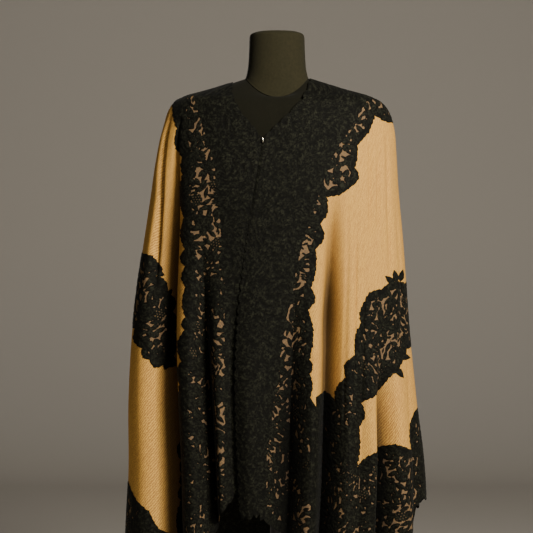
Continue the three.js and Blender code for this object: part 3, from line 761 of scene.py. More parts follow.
@dataclass
class ClothSheet:
    """A sheet of cloth as loose columns of numbers: its points, its flat places and its tones."""

    point: np.ndarray
    flat: np.ndarray
    tone: np.ndarray
    triangles: np.ndarray

    @staticmethod
    def of_grid(point: np.ndarray, flat: np.ndarray, tone: np.ndarray) -> "ClothSheet":
        """Makes a sheet from rows of points that run down the cloth.

        Args:
            point: Points by row and column.
            flat: Their places in the flat cloth.
            tone: Shares from 0 to 1 at each, last, which its finish reads.

        Returns:
            The sheet, its faces outwards.
        """
        rows, count = point.shape[:2]
        number = np.arange(rows * count).reshape(rows, count)
        a, b = number[:-1, :-1].ravel(), number[1:, :-1].ravel()
        c, d = number[1:, 1:].ravel(), number[:-1, 1:].ravel()
        triangles = np.concatenate([np.stack([a, b, c], 1), np.stack([a, c, d], 1)])
        return ClothSheet(point.reshape(-1, 3), flat.reshape(-1, 2),
                          tone.reshape(rows * count, -1), triangles)

    def cut(self, keep: np.ndarray) -> "ClothSheet":
        """Cuts the sheet along the line where a field is zero.

        Args:
            keep: The field at each point, positive in what stays.

        Returns:
            What stays.
        """
        kept = keep > 0
        count = kept[self.triangles].sum(1)
        whole = self.triangles[count == 3]
        parted = self.triangles[(count == 1) | (count == 2)]
        single = count[(count == 1) | (count == 2)] == 1
        odd = np.argmax(kept[parted] == single[:, None], axis=1)
        order = (odd[:, None] + np.arange(3)) % 3
        a, b, c = np.take_along_axis(parted, order, axis=1).T
        edges = np.sort(np.concatenate([np.stack([a, b], 1), np.stack([a, c], 1)]), axis=1)
        unique, which = np.unique(edges, axis=0, return_inverse=True)
        p, q = unique.T
        least = 0.03
        t = np.clip(keep[p] / (keep[p] - keep[q]), least, 1 - least)[:, None]
        joined = np.column_stack([self.point, self.flat, self.tone])
        joined = np.concatenate([joined, joined[p] + (joined[q] - joined[p]) * t])
        ab, ac = np.split(len(self.point) + which.ravel(), 2)
        lone, pair = single, ~single
        triangles = np.concatenate(
            [
                whole,
                np.stack([a, ab, ac], 1)[lone],
                np.stack([ab, b, c], 1)[pair],
                np.stack([ab, c, ac], 1)[pair],
            ]
        )
        used, triangles = np.unique(triangles, return_inverse=True)
        joined = joined[used]
        return ClothSheet(joined[:, :3], joined[:, 3:5], joined[:, 5:], triangles.reshape(-1, 3))

    def mesh(self, *tones: str) -> bpy.types.Mesh:
        """Turns the sheet into a mesh in metres.

        Args:
            tones: The names that the finish reads the tones by.

        Returns:
            The mesh, with its flat places as a UV map and its tones as attributes.
        """
        mesh = bpy.data.meshes.new("cloth")
        mesh.from_pydata((self.point * MM).tolist(), [], self.triangles.tolist())
        mesh.uv_layers.new(name="cloth").data.foreach_set(
            "uv", (self.flat[self.triangles.ravel()] * MM).ravel()
        )
        for name, values in zip(tones, self.tone.T, strict=True):
            mesh.attributes.new(name, "FLOAT", "POINT").data.foreach_set("value", values.copy())
        return mesh


def outline_depth(x: np.ndarray, z: np.ndarray, outline: np.ndarray) -> np.ndarray:
    """Distance inside an outline as seen from the front.

    Args:
        x: Places across.
        z: Heights.
        outline: The outline's corners.

    Returns:
        The distance to the outline, negative outside it.
    """
    nearest = np.full(x.shape, 1e9)
    inside = np.zeros(x.shape, bool)
    for (ax, az), (bx, bz) in zip(outline, np.roll(outline, -1, axis=0), strict=True):
        long = max((bx - ax) ** 2 + (bz - az) ** 2, 1e-9)
        t = np.clip(((x - ax) * (bx - ax) + (z - az) * (bz - az)) / long, 0, 1)
        nearest = np.minimum(nearest, np.hypot(x - ax - t * (bx - ax), z - az - t * (bz - az)))
        if az != bz:
            over = (az > z) != (bz > z)
            inside ^= over & (x < ax + (z - az) / (bz - az) * (bx - ax))
    return np.where(inside, nearest, -nearest)


class Motif(Enum):
    """The figures of the lace's own flower design."""

    BLOOM = "bloom"
    SPRIG = "sprig"
    FAN = "fan"
    EYELETS = "eyelets"


@dataclass(frozen=True)
class Blade:
    """A leaf or petal of close stitches in the flat lace, from its foot."""

    x: float
    y: float
    turn: float
    long: float
    wide: float
    blunt: float = 0.75
    fuller: float = 0.12

    @staticmethod
    def grown(x: float, y: float, out: float, way: float, lean: float, long: float,
              wide: float) -> "Blade":
        """A blade whose foot is out one way from a point, and which leans from that way."""
        return Blade(x + out * math.cos(way), y + out * math.sin(way), way + lean, long, wide)


@dataclass
class LaceGround:
    """An even grid over flat lace: how far inside a figure and outside an eyelet each place is."""

    u: np.ndarray
    v: np.ndarray
    cover: np.ndarray
    holes: np.ndarray

    def window(self, x: float, y: float, reach: float) -> tuple[slice, slice]:
        """The part of the grid near a place.

        Args:
            x: Place across.
            y: Place down.
            reach: How far the part goes to each side.

        Returns:
            Its rows and columns.
        """
        rows = slice(*np.searchsorted(self.v, (y - reach, y + reach)))
        return rows, slice(*np.searchsorted(self.u, (x - reach, x + reach)))

    def turned(self, x: float, y: float, turn: float, reach: float) -> tuple[np.ndarray, ...]:
        """Places near a point, along and across a direction.

        Args:
            x: The point's place across.
            y: Its place down.
            turn: The direction.
            reach: How far to look.

        Returns:
            Places along the direction and across it.
        """
        rows, cols = self.window(x, y, reach)
        a, b = np.meshgrid(self.u[cols] - x, self.v[rows] - y)
        cos, sin = math.cos(turn), math.sin(turn)
        return a * cos + b * sin, b * cos - a * sin

    def lay(self, blade: Blade) -> None:
        """Lays a leaf or petal onto the net, one side fuller than the other.

        Args:
            blade: The leaf or petal.
        """
        along, side = self.turned(blade.x, blade.y, blade.turn, blade.long)
        share = along / blade.long
        bulge = np.sin(np.pi * np.clip(share, 0, 1)) ** blade.blunt
        depth = blade.wide / 2 * bulge - np.abs(side - blade.fuller * blade.wide * bulge)
        spot = self.window(blade.x, blade.y, blade.long)
        inside = (share > 0) & (share < 1)
        self.cover[spot] = np.where(inside, np.maximum(self.cover[spot], depth), self.cover[spot])

    def pierce(self, x: float, y: float, turn: float, size: float, pitch: float,
               hole: float) -> None:
        """Lays a round of close stitches and sets small eyelets in it.

        Args:
            x: Its middle across.
            y: Its middle down.
            turn: The way the rows of eyelets run.
            size: Its radius.
            pitch: From eyelet to eyelet.
            hole: An eyelet's radius.
        """
        along, side = self.turned(x, y, turn, size)
        rise = 0.87 * pitch
        row = np.round(side / rise)
        shift = 0.5 * pitch * np.mod(row, 2)
        middle = np.round((along - shift) / pitch) * pitch + shift
        away = np.hypot(along - middle, side - row * rise) - hole
        away[np.hypot(middle, row * rise) > 0.75 * size] = np.inf
        spot = self.window(x, y, size)
        self.cover[spot] = np.maximum(self.cover[spot], size - np.hypot(along, 1.25 * side))
        self.holes[spot] = np.minimum(self.holes[spot], away)

    def depth_at(self, x: float, y: float) -> float:
        """How far a place is inside a figure."""
        row, col = np.searchsorted(self.v, y), np.searchsorted(self.u, x)
        return float(self.cover[min(row, len(self.v) - 1), min(col, len(self.u) - 1)])


@dataclass
class LaceDesign:
    """A generic flower lace in flat millimetres: blooms, sprigs, fans and eyelets on fine net."""

    across: float = 47
    down: float = 41
    jog: float = 9
    petals: int = 5
    bloom_size: Pair = (0.85, 1.2)
    petal_stray: float = 0.15
    heart: float = 3
    petal_long: float = 17
    petal_wide: float = 13.5
    leaf_long: float = 22
    leaf_wide: float = 9.5
    leaf_step: float = 11
    leaf_lean: Pair = (0.6, 0.95)
    leaf_size: Pair = (0.8, 1.1)
    stalk_wide: float = 3.4
    fan_long: float = 30
    fan_taper: float = 1.8
    fan_foot: float = 12
    round_size: float = 13
    eyelet: float = 1.4
    eyelet_pitch: float = 5.6
    bare: float = -6.0
    # Rounds of small leaves: the room that each needs, its size and the spacing.
    fillers: tuple[Triple, ...] = ((3.0, 1.1, 11), (1.9, 0.62, 6.5))
    filler_jog: float = 0.45
    filler_size: Pair = (0.8, 1.2)
    stray: float = 0.3
    mixture: tuple[float, ...] = (0.32, 0.32, 0.2, 0.16)
    seed: int = 11

    def bloom(self, x: float, y: float, turn: float, random: np.random.Generator) -> list[Blade]:
        """A flower of five petals with three leaves round it.

        Args:
            x: Its middle across.
            y: Its middle down.
            turn: The way it is turned.
            random: Where its unevenness comes from.

        Returns:
            Its petals and leaves.
        """
        size = random.uniform(*self.bloom_size)
        ways = turn + np.arange(self.petals) * math.tau / self.petals
        ways = ways + random.uniform(-self.petal_stray, self.petal_stray, self.petals)
        long, wide = self.petal_long * size, self.petal_wide * size
        made = [Blade.grown(x, y, self.heart, way, 0, long, wide) for way in ways]
        foot = 0.95 * long
        return made + [Blade.grown(x, y, foot, way, 0.9, self.leaf_long * size, self.leaf_wide)
                       for way in turn + 0.5 + np.arange(3) * math.tau / 3]

    def sprig(self, x: float, y: float, turn: float, random: np.random.Generator) -> list[Blade]:
        """Leaves in pairs along a stalk, with one at its tip.

        Args:
            x: Its middle across.
            y: Its middle down.
            turn: The way it grows.
            random: Where its unevenness comes from.

        Returns:
            Its leaves and stalk.
        """
        long, wide = self.leaf_long, self.leaf_wide
        made = [Blade.grown(x, y, -long, turn, 0, 2.1 * long, self.stalk_wide),
                Blade.grown(x, y, 0.7 * long, turn, 0, long, wide)]
        for up in (np.arange(3) - 1.25) * self.leaf_step:
            for side in (-1, 1):
                lean = side * random.uniform(*self.leaf_lean)
                size = random.uniform(*self.leaf_size)
                made.append(Blade.grown(x, y, up, turn, lean, long * size, wide))
        return made

    def fan(self, x: float, y: float, turn: float) -> list[Blade]:
        """Five long petals spread from one foot, with a leaf at each side.

        Args:
            x: Its middle across.
            y: Its middle down.
            turn: The way it opens.

        Returns:
            Its petals and leaves.
        """
        made = [Blade.grown(x, y, -self.fan_foot, turn, 0.5 * k,
                            self.fan_long - self.fan_taper * abs(k), 0.9 * self.leaf_wide)
                for k in range(-2, 3)]
        return made + [Blade.grown(x, y, -self.fan_foot, turn, 2.2 * side, self.leaf_long,
                                   1.2 * self.leaf_wide)
                       for side in (-1, 1)]

    def flow(self, x: float, y: float) -> float:
        """The way in which the small leaves between the figures lie at a place."""
        return 1.9 * math.sin(x / 34 + 1.3 * math.sin(y / 41)) + 1.1 * math.sin(y / 29)

    def lay_figures(self, ground: LaceGround, random: np.random.Generator) -> None:
        """Lays the large figures in staggered rows, a little out of line.

        Args:
            ground: The ground that they go onto.
            random: Where their kinds and unevenness come from.
        """
        kinds = list(Motif)
        u, v = ground.u, ground.v
        for row in range(int(v[0] // self.down), int(v[-1] // self.down) + 2):
            for spot in range(int(u[0] // self.across), int(u[-1] // self.across) + 2):
                x = (spot + 0.5 * (row % 2)) * self.across + random.uniform(-self.jog, self.jog)
                y = row * self.down + random.uniform(-self.jog, self.jog)
                turn = random.uniform(0, math.tau)
                made = []
                match kinds[int(random.choice(len(kinds), p=self.mixture))]:
                    case Motif.BLOOM:
                        made = self.bloom(x, y, turn, random)
                    case Motif.SPRIG:
                        made = self.sprig(x, y, turn, random)
                    case Motif.FAN:
                        made = self.fan(x, y, turn)
                    case Motif.EYELETS:
                        ground.pierce(x, y, turn, self.round_size, self.eyelet_pitch, self.eyelet)
                for blade in made:
                    ground.lay(blade)

    def fill_between(self, ground: LaceGround, random: np.random.Generator) -> None:
        """Fills the room between the figures with small leaves.

        Args:
            ground: The ground that they go onto.
            random: Where their unevenness comes from.
        """
        for room, size, step in self.fillers:
            for y in np.arange(ground.v[0], ground.v[-1], step):
                for x in np.arange(ground.u[0], ground.u[-1], step):
                    jog = random.uniform(-self.filler_jog, self.filler_jog, 2)
                    at_x, at_y = (x, y) + jog * step
                    turn = self.flow(at_x, at_y) + random.normal(0, self.stray)
                    if ground.depth_at(at_x, at_y) < -room:
                        long = self.leaf_long * size * random.uniform(*self.filler_size)
                        wide = self.leaf_wide * size * 0.85
                        ground.lay(Blade.grown(at_x, at_y, -long / 2, turn, 0, long, wide))

    def draw(self, u: np.ndarray, v: np.ndarray, start: int) -> LaceGround:
        """Draws the whole design over a stretch of flat lace.

        Args:
            u: The grid's places across.
            v: The grid's places down.
            start: A number that shifts the figures of this piece.

        Returns:
            The drawn ground.
        """
        random = np.random.default_rng(self.seed + start)
        shape = (len(v), len(u))
        ground = LaceGround(u, v, np.full(shape, self.bare), np.full(shape, np.inf))
        self.lay_figures(ground, random)
        self.fill_between(ground, random)
        return ground


@dataclass
class WoolPanel:
    """The camel wool of the shawl, one panel from front to front, cut away under the lace."""

    drape: Drape
    finish: bpy.types.Material
    wall: float = 1.5
    steps: int = 12
    row_mm: float = 8.5
    fine: int = 600
    rows_at: float = 9
    edge_left: Guide = ((-97, 300), (-95, 1000), (-116, 1223), (-161, 1367))
    edge_right: Guide = ((-30, 300), (-26, 679), (5, 887), (39, 1059), (98, 1233), (174, 1357))
    edge_back: Guide = ((-161, 1367), (-120, 1325), (-60, 1298), (0, 1290), (64, 1298), (128, 1325),
                        (174, 1357))
    edge_low: Guide = ((-330, 560), (-230, 596), (-120, 692), (0, 706), (110, 690), (240, 640),
                       (330, 640))
    right_side: int = 11
    left_side: int = 25
    cut: Pair = (0.95, 1.98)
    cut_area: float = 1.02
    measured_at: float = 10
    hem_in: float = 7.0
    probe: float = 0.05
    merge: float = 0.00005
    sliver: float = 0.00002

    def keep(self, s: np.ndarray, point: np.ndarray) -> np.ndarray:
        """How far points are inside the wool's own edge.

        Args:
            s: Their places from fold to fold.
            point: The points.

        Returns:
            The distance, negative where there is lace alone.
        """
        x, z = point[..., 0], point[..., 2]
        guides = (self.edge_left, self.edge_right, self.edge_back, self.edge_low)
        left, right, back, low = (np.array(guide, float).T for guide in guides)
        on_left = np.interp(z, left[1], left[0]) - x
        on_right = x - np.interp(z, right[1], right[0])
        on_back = np.interp(x, back[0], back[1]) - z
        on_back = np.minimum(on_back, z - np.interp(x, low[0], low[1]))
        on_back = np.where(s > self.left_side, on_left, on_back)
        return np.where(s < self.right_side, on_right, on_back)

    def sheet(self, lace: "LaceWork") -> ClothSheet:
        """Lays the panel along the drape and cuts it where there is lace alone.

        Args:
            lace: The lace, whose net lies against the wool.

        Returns:
            The panel's cloth, with its share of net and its painted fold shade as tones.
        """
        drape = self.drape
        s = np.linspace(0, drape.last_fold, drape.last_fold * self.steps + 1)
        top, foot = drape.ends(s)
        last = drape.points(s, foot) - drape.points(s, foot - self.probe)
        foot = foot - self.hem_in * self.probe / np.linalg.norm(last, axis=-1)
        _, levels = drape.even_levels(self.rows_at, self.row_mm, self.fine)
        level = np.clip(levels[:, None], top, foot)
        point = drape.points(s, level)
        across = np.broadcast_to(running_length(drape.points(s, self.measured_at), 0), level.shape)
        flat = np.stack([across, -running_length(point, 0)], axis=-1)
        round_s = np.broadcast_to(s, level.shape)
        # The wool's tones: its share of net, and painted shade deep in folds.
        tones = [lace.net_share(round_s, point), drape.fold_shade(s, level)]
        sheet = ClothSheet.of_grid(point, flat, np.stack(tones, axis=-1))
        used = (levels[1:, None] > top) & (levels[:-1, None] < foot)
        cells = (used[:, :-1] | used[:, 1:]).ravel()
        sheet.triangles = sheet.triangles[np.concatenate([cells, cells])]
        return sheet.cut(self.keep(round_s, point).ravel())

    def build(self, lace: "LaceWork", rests_on: bpy.types.Object) -> bpy.types.Object:
        """Args:
            lace: The lace, whose net lies against the wool.
            rests_on: The dress form's body; not used.

        Returns:
            The panel.
        """
        bm = bmesh.new()
        bm.from_mesh(self.sheet(lace).mesh("net", "fold_shade"))
        bmesh.ops.remove_doubles(bm, verts=bm.verts, dist=self.merge)
        bmesh.ops.dissolve_degenerate(bm, edges=bm.edges, dist=self.sliver)
        loose = [v for v in bm.verts if not v.link_faces]
        bmesh.ops.delete(bm, geom=loose, context="VERTS")
        piece = place(mesh_of(bm, unit=1), "wool_panel", self.finish)
        wall = piece.modifiers.new("wall", "SOLIDIFY")
        wall.thickness = self.wall * MM
        wall.offset = 0
        settle(piece, "wool", "wool_front_left", "wool_back", "wool_front_right")
        return piece


@dataclass(frozen=True)
class LacePlan:
    """One piece of the lace: the stretch it hangs on, its edges, and the cut of it."""

    name: str
    node: str
    first: float
    last: float
    start: float
    outline: str
    busy: float
    cut: Pair
    area: float
    rim: float = 15
    free_edge: bool = False
    tuck: float = 0
    pitch: float = 1.5
    phase: float = 0
    end_lobe: float = 0
    leafy: bool = False

    @property
    def over(self) -> bool:
        """Whether this is the front that lies over the other."""
        return self.free_edge and self.start == 0


@dataclass
class FlatLace:
    """Places in a piece of lace as it lies flat, and where each of them hangs."""

    u: np.ndarray
    v: np.ndarray
    s: np.ndarray
    level: np.ndarray
    inside: np.ndarray
    point: np.ndarray

    def at(self, chosen: np.ndarray) -> "FlatLace":
        """The places that a mask chooses."""
        return FlatLace(*(getattr(self, part.name)[chosen] for part in fields(self)))


@dataclass(frozen=True)
class Ripple:
    """Uneven hills and hollows, from -1 to 1, across and down flat cloth."""

    long: Pair
    sway: Pair
    swing: Pair

    def at(self, u: np.ndarray, v: np.ndarray, phase: float = 0.0) -> np.ndarray:
        """Height of the ripple.

        Args:
            u: Places across.
            v: Places down.
            phase: A shift across.

        Returns:
            The height at each place.
        """
        across = np.sin(u / self.long[0] + phase + self.swing[0] * np.sin(v / self.sway[0]))
        return across * np.sin(v / self.long[1] + self.swing[1] * np.sin(u / self.sway[1]))


@dataclass
class LaceWork:
    """All the lace of the shawl, laid on the wool and standing free at the fronts and neck."""

    drape: Drape
    backing: "WoolPanel"
    finish: bpy.types.Material
    design: LaceDesign = field(default_factory=LaceDesign)
    lift: float = 1.15
    pillow: float = 0.75
    scallop_long: float = 52
    scallop_deep: float = 9
    scallop_share: Pair = (0.4, 1.6)
    scallop_size: Pair = (0.3, 1.3)
    tip_long: float = 11
    tip_deep: float = 3.6
    tip_size: Pair = (0.25, 1.0)
    tip_steps: int = 6
    ragged: float = 0.45
    fray: Ripple = Ripple((1 / 1.9, 1 / 1.7), (1 / 0.9, 1 / 0.8), (1.3, 1.1))
    front_lobe: float = 4.5
    front_lobe_long: float = 19
    front_wander: float = 6
    wander_long: float = 27
    lobe_round: float = 0.6
    end_lobe_long: float = 47
    shut_above: float = 1165
    shut_ease: float = 50
    tuck_ease: Pair = (-2.0, 9.0)
    under: float = 3.2
    swell: float = 1.5
    swell_drift: float = 1.2
    drift: Ripple = Ripple((31, 37), (47, 53), (1.7, 1.3))
    busy_thins: float = 0.6
    closed: float = 9.0
    seam_open: float = 0.7
    seam_ease: Pair = (12, 34)
    wool_ease: Pair = (0, 6)
    rim_from: float = 5
    net_ease: Pair = (3.0, 10.0)
    puff_in: float = 4
    dull: float = 0.2
    above: float = 1450
    below: float = 300
    margin: float = 30
    outside: float = -9.0
    near_edge: float = -6.0
    fine: int = 900
    fold_steps: int = 48
    edge_places: int = 800
    probe: float = 0.02
    leaf_long: float = 26
    leaf_wide: float = 14
    # Leaves that stand out of the right end's edge: foot as seen from the front, and turn.
    leaves: Columns = table(
        "x z turn",
        (228, 993, 142),
        (233, 996, 104),
        (240, 997, 74),
        (238, 852, -12),
        (230, 830, -52),
    )
    plans: tuple[LacePlan, ...] = (
        LacePlan("lace_left_border", "lace_front_left", 25.006, 31.9, 31, "left border", 0.8,
                 (0.22, 0.95), 0.18, rim=24, free_edge=True, tuck=9.0),
        LacePlan("lace_right_border", "lace_front_right", -0.6, 10.994, 0, "right border", 1.2,
                 (0.22, 0.95), 0.152, rim=14, free_edge=True, tuck=6.0, phase=math.pi),
        LacePlan("lace_back_neck", "lace_neck_back", 11.006, 24.994, 18, "back neck", 0.8,
                 (0.15, 0.62), 0.07, pitch=2.2),
        LacePlan("lace_left_spray", "lace_patch_left", 25.006, 31, 26, "left spray", 0.3,
                 (0.14, 0.24), 0.021, end_lobe=15.0),
        LacePlan("lace_right_end", "lace_garland_right", 0, 10.994, 8, "right end", 1.0,
                 (0.34, 0.62), 0.135, leafy=True),
        LacePlan("lace_side_garland", "lace_garland_back", 11.006, 24.994, 11.5, "side garland",
                 1.0, (0.11, 0.15), 0.011),
        LacePlan("lace_left_hem", "lace_hem_left", 25.006, 31, 26, "left hem", 0.9,
                 (0.17, 0.2), 0.0165),
        LacePlan("lace_back_hem", "lace_hem_back", 11.006, 24.994, 18, "back hem", 0.9,
                 (0.27, 1.0), 0.188, pitch=2.2),
    )

    def scalloped(self, guide: Guide) -> Guide:
        """Scallops along a guide, standing out to the left of the way it runs.

        Args:
            guide: The guide's corners as seen from the front.

        Returns:
            Points along the scalloped edge.
        """
        random = np.random.default_rng(round(abs(guide[0][0]) + len(guide)))
        edge = []
        for (ax, az), (bx, bz) in zip(guide[:-1], guide[1:], strict=True):
            long = math.hypot(bx - ax, bz - az)
            count = max(1, round(long / self.scallop_long))
            shares = np.cumsum(random.uniform(*self.scallop_share, count))
            ends = np.concatenate([[0], shares / shares[-1]])
            for start, stop in zip(ends[:-1], ends[1:], strict=True):
                deep = self.scallop_deep * random.uniform(*self.scallop_size)
                tips = max(2, round((stop - start) * long / self.tip_long))
                sharp = random.uniform(*self.tip_size, tips)
                for j in range(self.tip_steps * tips):
                    f = j / (self.tip_steps * tips)
                    tip, step = divmod(j, self.tip_steps)
                    t = start + (stop - start) * f
                    lobe = deep * math.sin(math.pi * f) ** 1.1
                    lobe += self.tip_deep * sharp[tip] * (step / self.tip_steps) ** 0.7
                    edge.append((ax + (bx - ax) * t - (bz - az) / long * lobe,
                                 az + (bz - az) * t + (bx - ax) / long * lobe))
        return [*edge, guide[-1]]

    def outlines(self) -> dict[str, np.ndarray]:
        """Outlines of the lace pieces as seen from the front.

        Returns:
            The corners of each, by the piece's plan.
        """
        left = [(-190, 300), (-186, 800), (-175, 930), (-177, 1060), (-184, 1240), (-206, 1350)]
        right = [(250, 1322), (190, 1324), (154, 1262), (143, 1182), (92, 1162), (72, 1060),
                 (58, 945), (62, 780)]
        back = [(250, 1322), (160, 1296), (60, 1246), (-60, 1246), (-150, 1300), (-215, 1350)]
        spray = [(-300, 1052), (-262, 1052), (-236, 1036), (-225, 1018), (-231, 1008), (-216, 978),
                 (-209, 972), (-206, 940), (-203, 900), (-204, 852), (-212, 830), (-222, 836),
                 (-248, 846), (-262, 868), (-278, 905), (-300, 925), (-300, 1052)]
        end = [(72, 780), (112, 768), (148, 858), (168, 960), (200, 982), (300, 1004)]
        island = [(300, 884), (254, 866), (216, 812), (158, 768), (149, 645), (198, 676),
                  (262, 668), (270, 741), (330, 741)]
        garland = [(300, 884), (236, 882), (216, 930), (236, 992), (300, 1004)]
        left_hem = [(-196, 300), (-200, 505), (-246, 556), (-290, 606), (-330, 606)]
        back_hem = [(-330, 606), (-230, 642), (-120, 738), (0, 752), (110, 738), (210, 704),
                    (270, 741), (330, 741)]
        points = [(-34, 562), (-40, 553), (-45, 560), (-53, 546), (-59, 557), (-65, 549),
                  (-72, 562)]
        edge = self.scalloped
        shapes = {
            "left border": [*edge(left), (-206, self.above), (0, self.above), (0, self.below)],
            "right border": [*edge(right), (73, 760), (73, self.below), (-31, self.below), *points,
                             (-140, 562), (-140, self.above), (250, self.above)],
            "back neck": [*edge(back), (-215, self.above), (250, self.above)],
            "left spray": edge(spray)[:-1],
            "right end": [*edge(end), *edge(island), (330, self.below), (71, self.below)],
            "side garland": edge(garland),
            "left hem": [*edge(left_hem), (-330, self.below)],
            "back hem": [*edge(back_hem), (330, self.below), (-330, self.below)],
        }
        return {name: np.array(shape, float) for name, shape in shapes.items()}

    def net_share(self, s: np.ndarray, point: np.ndarray) -> np.ndarray:
        """How much of the lace's net lies against the wool.

        Args:
            s: Places from fold to fold.
            point: Points of the wool.

        Returns:
            A share that eases in from the lace's edges.
        """
        depth = np.full(s.shape, -1e9)
        x, z = point[..., 0], point[..., 2]
        outlines = self.outlines()
        for plan in self.plans:
            here = (s >= plan.first - 0.01) & (s <= plan.last + 0.01)
            inside = outline_depth(x[here], z[here], outlines[plan.outline])
            depth[here] = np.maximum(depth[here], inside)
        return smooth_step(depth, *self.net_ease)

    def leaf_tips(self, x: np.ndarray, z: np.ndarray) -> np.ndarray:
        """How far points are inside the leaves that stand out of the right end's edge.

        Args:
            x: Places across.
            z: Heights.

        Returns:
            The distance, negative outside every leaf.
        """
        rim = np.array([(0, 0), (0.15, -0.3), (0.35, -0.47), (0.65, -0.36), (1, 0), (0.65, 0.36),
                        (0.35, 0.47), (0.15, 0.3)]) * (self.leaf_long, self.leaf_wide)
        nearest = np.full(x.shape, -1e9)
        for leaf_x, leaf_z, turn in zip(*self.leaves.values(), strict=True):
            cos, sin = math.cos(math.radians(turn)), math.sin(math.radians(turn))
            corners = rim @ np.array([(cos, sin), (-sin, cos)]) + (leaf_x, leaf_z)
            nearest = np.maximum(nearest, outline_depth(x, z, corners))
        return nearest

    def flat_grid(self, plan: LacePlan) -> FlatLace:
        """Lays an even flat grid over a stretch of the drape.

        Args:
            plan: The piece.

        Returns:
            The grid, with how far each place is inside the stretch's two ends.
        """
        drape, pitch = self.drape, plan.pitch
        v, levels = drape.even_levels(plan.start, pitch, self.fine)
        s = np.linspace(plan.first, plan.last, int(self.fold_steps * (plan.last - plan.first)) + 1)
        length = running_length(drape.points(s, levels[:, None]), 1)
        length -= np.array([[np.interp(plan.start, s, row)] for row in length])
        u = np.arange(np.floor(length.min() / pitch), length.max() / pitch) * pitch
        place_s = np.stack([np.interp(u, row, s) for row in length])
        inside = np.minimum(u - length[:, :1], length[:, -1:] - u)
        u, v = np.meshgrid(u, v)
        level = np.broadcast_to(levels[:, None], u.shape)
        return FlatLace(u, v, place_s, level, inside, drape.points(place_s, level))

    def lobes(self, way: np.ndarray, long: float) -> np.ndarray:
        """Round lobes along an edge, from 0 at their tips to 1 in the nicks between them."""
        return 1 - np.abs(np.sin(np.pi * way / long)) ** self.lobe_round

    def shut(self, z: np.ndarray) -> np.ndarray:
        """How far the two fronts lie shut over each other round the pin."""
        return smooth_step(z, self.shut_above - self.shut_ease, self.shut_above)

    def edge_depth(self, plan: LacePlan, grid: FlatLace) -> np.ndarray:
        """How far places are inside the free edges at the neck, front and hem.

        Args:
            plan: The piece.
            grid: The places.

        Returns:
            The distance, less the small lobes that edge the lace.
        """
        drape, s, level = self.drape, grid.s, grid.level
        known = np.linspace(plan.first, plan.last, self.edge_places)
        top, foot = drape.ends(known)
        step = drape.points(s, level + self.probe) - drape.points(s, level - self.probe)
        to_level = np.linalg.norm(step, axis=-1) / (2 * self.probe)
        down = (level - np.interp(s, known, top)) * to_level
        up = (np.interp(s, known, foot) - level) * to_level
        across, along = (
            self.front_lobe * self.lobes(
                way + self.front_wander * np.sin(way / self.wander_long), self.front_lobe_long)
            for way in (grid.u, grid.v))
        depth = np.minimum(down, up) - across
        if plan.free_edge:
            shut = self.shut(grid.point[..., 2]) if plan.over else 1.0
            inward = grid.u if plan.over else -grid.u
            depth = np.minimum(depth, inward + plan.tuck * shut - along * (1 - shut))
        return depth

    def region(self, plan: LacePlan, outline: np.ndarray, grid: FlatLace) -> np.ndarray:
        """How far places are inside a piece's outline, its two ends and its free edges.

        Args:
            plan: The piece.
            outline: Its outline as seen from the front.
            grid: The places.

        Returns:
            The distance, negative outside.
        """
        x, z = grid.point[..., 0], grid.point[..., 2]
        low, high = outline.min(0) - self.margin, outline.max(0) + self.margin
        near = (x > low[0]) & (x < high[0]) & (z > low[1]) & (z < high[1])
        near &= grid.inside > -3 * plan.pitch
        region = np.full(x.shape, self.outside)
        region[near] = outline_depth(x[near], z[near], outline)
        if plan.leafy:
            region[near] = np.maximum(region[near], self.leaf_tips(x[near], z[near]))
        nicks = plan.end_lobe * self.lobes(grid.v, self.end_lobe_long)
        region = np.minimum(region, grid.inside - nicks)
        near = region > self.near_edge
        region[near] = np.minimum(region[near], self.edge_depth(plan, grid.at(near)))
        return region

    def threads(self, plan: LacePlan, grid: FlatLace, region: np.ndarray,
                ground: LaceGround) -> np.ndarray:
        """How far places are inside the lace's threads, which open where it lies on the wool.

        Args:
            plan: The piece.
            grid: The places.
            region: How far they are inside the piece.
            ground: The design that is drawn on it.

        Returns:
            The distance, negative in the open net.
        """
        behind = self.backing.keep(grid.s, grid.point)
        opened = smooth_step(behind, *self.wool_ease) * smooth_step(region, self.rim_from, plan.rim)
        swell = self.swell - self.busy_thins * plan.busy
        swell = swell + self.swell_drift * self.drift.at(grid.u, grid.v, plan.phase)
        swell = swell - self.seam_open * (1 - smooth_step(behind, *self.seam_ease))
        swell = self.closed + (swell - self.closed) * opened
        keep = np.minimum(ground.cover + swell, ground.holes + self.closed * (1 - opened))
        return np.minimum(region, keep) + self.ragged * self.fray.at(grid.u, grid.v)

    def build(self, plan: LacePlan, outline: np.ndarray,
              rests_on: bpy.types.Object) -> bpy.types.Object:
        """Args:
            plan: The piece.
            outline: Its outline as seen from the front.
            rests_on: What it lies on; not used.

        Returns:
            The piece.
        """
        grid = self.flat_grid(plan)
        region = self.region(plan, outline, grid)
        ground = self.design.draw(grid.u[0], grid.v[:, 0], int(plan.start))
        keep = self.threads(plan, grid, region, ground)
        normal = np.cross(np.gradient(grid.point, axis=0), np.gradient(grid.point, axis=1))
        normal /= np.maximum(np.linalg.norm(normal, axis=-1, keepdims=True), 1e-9)
        deep = np.clip(np.minimum(ground.cover, region), 0, self.puff_in)
        puff = np.sqrt(deep / self.puff_in)
        lift = self.lift + self.pillow * puff
        if plan.over:
            tucked = self.shut(grid.point[..., 2]) * (1 - smooth_step(grid.u, *self.tuck_ease))
            lift = lift - self.under * tucked
        # Painted sheen: a share that paints the lace's raised stitches lighter, least on the flat
        # net.
        raised = self.dull + (1 - self.dull) * puff
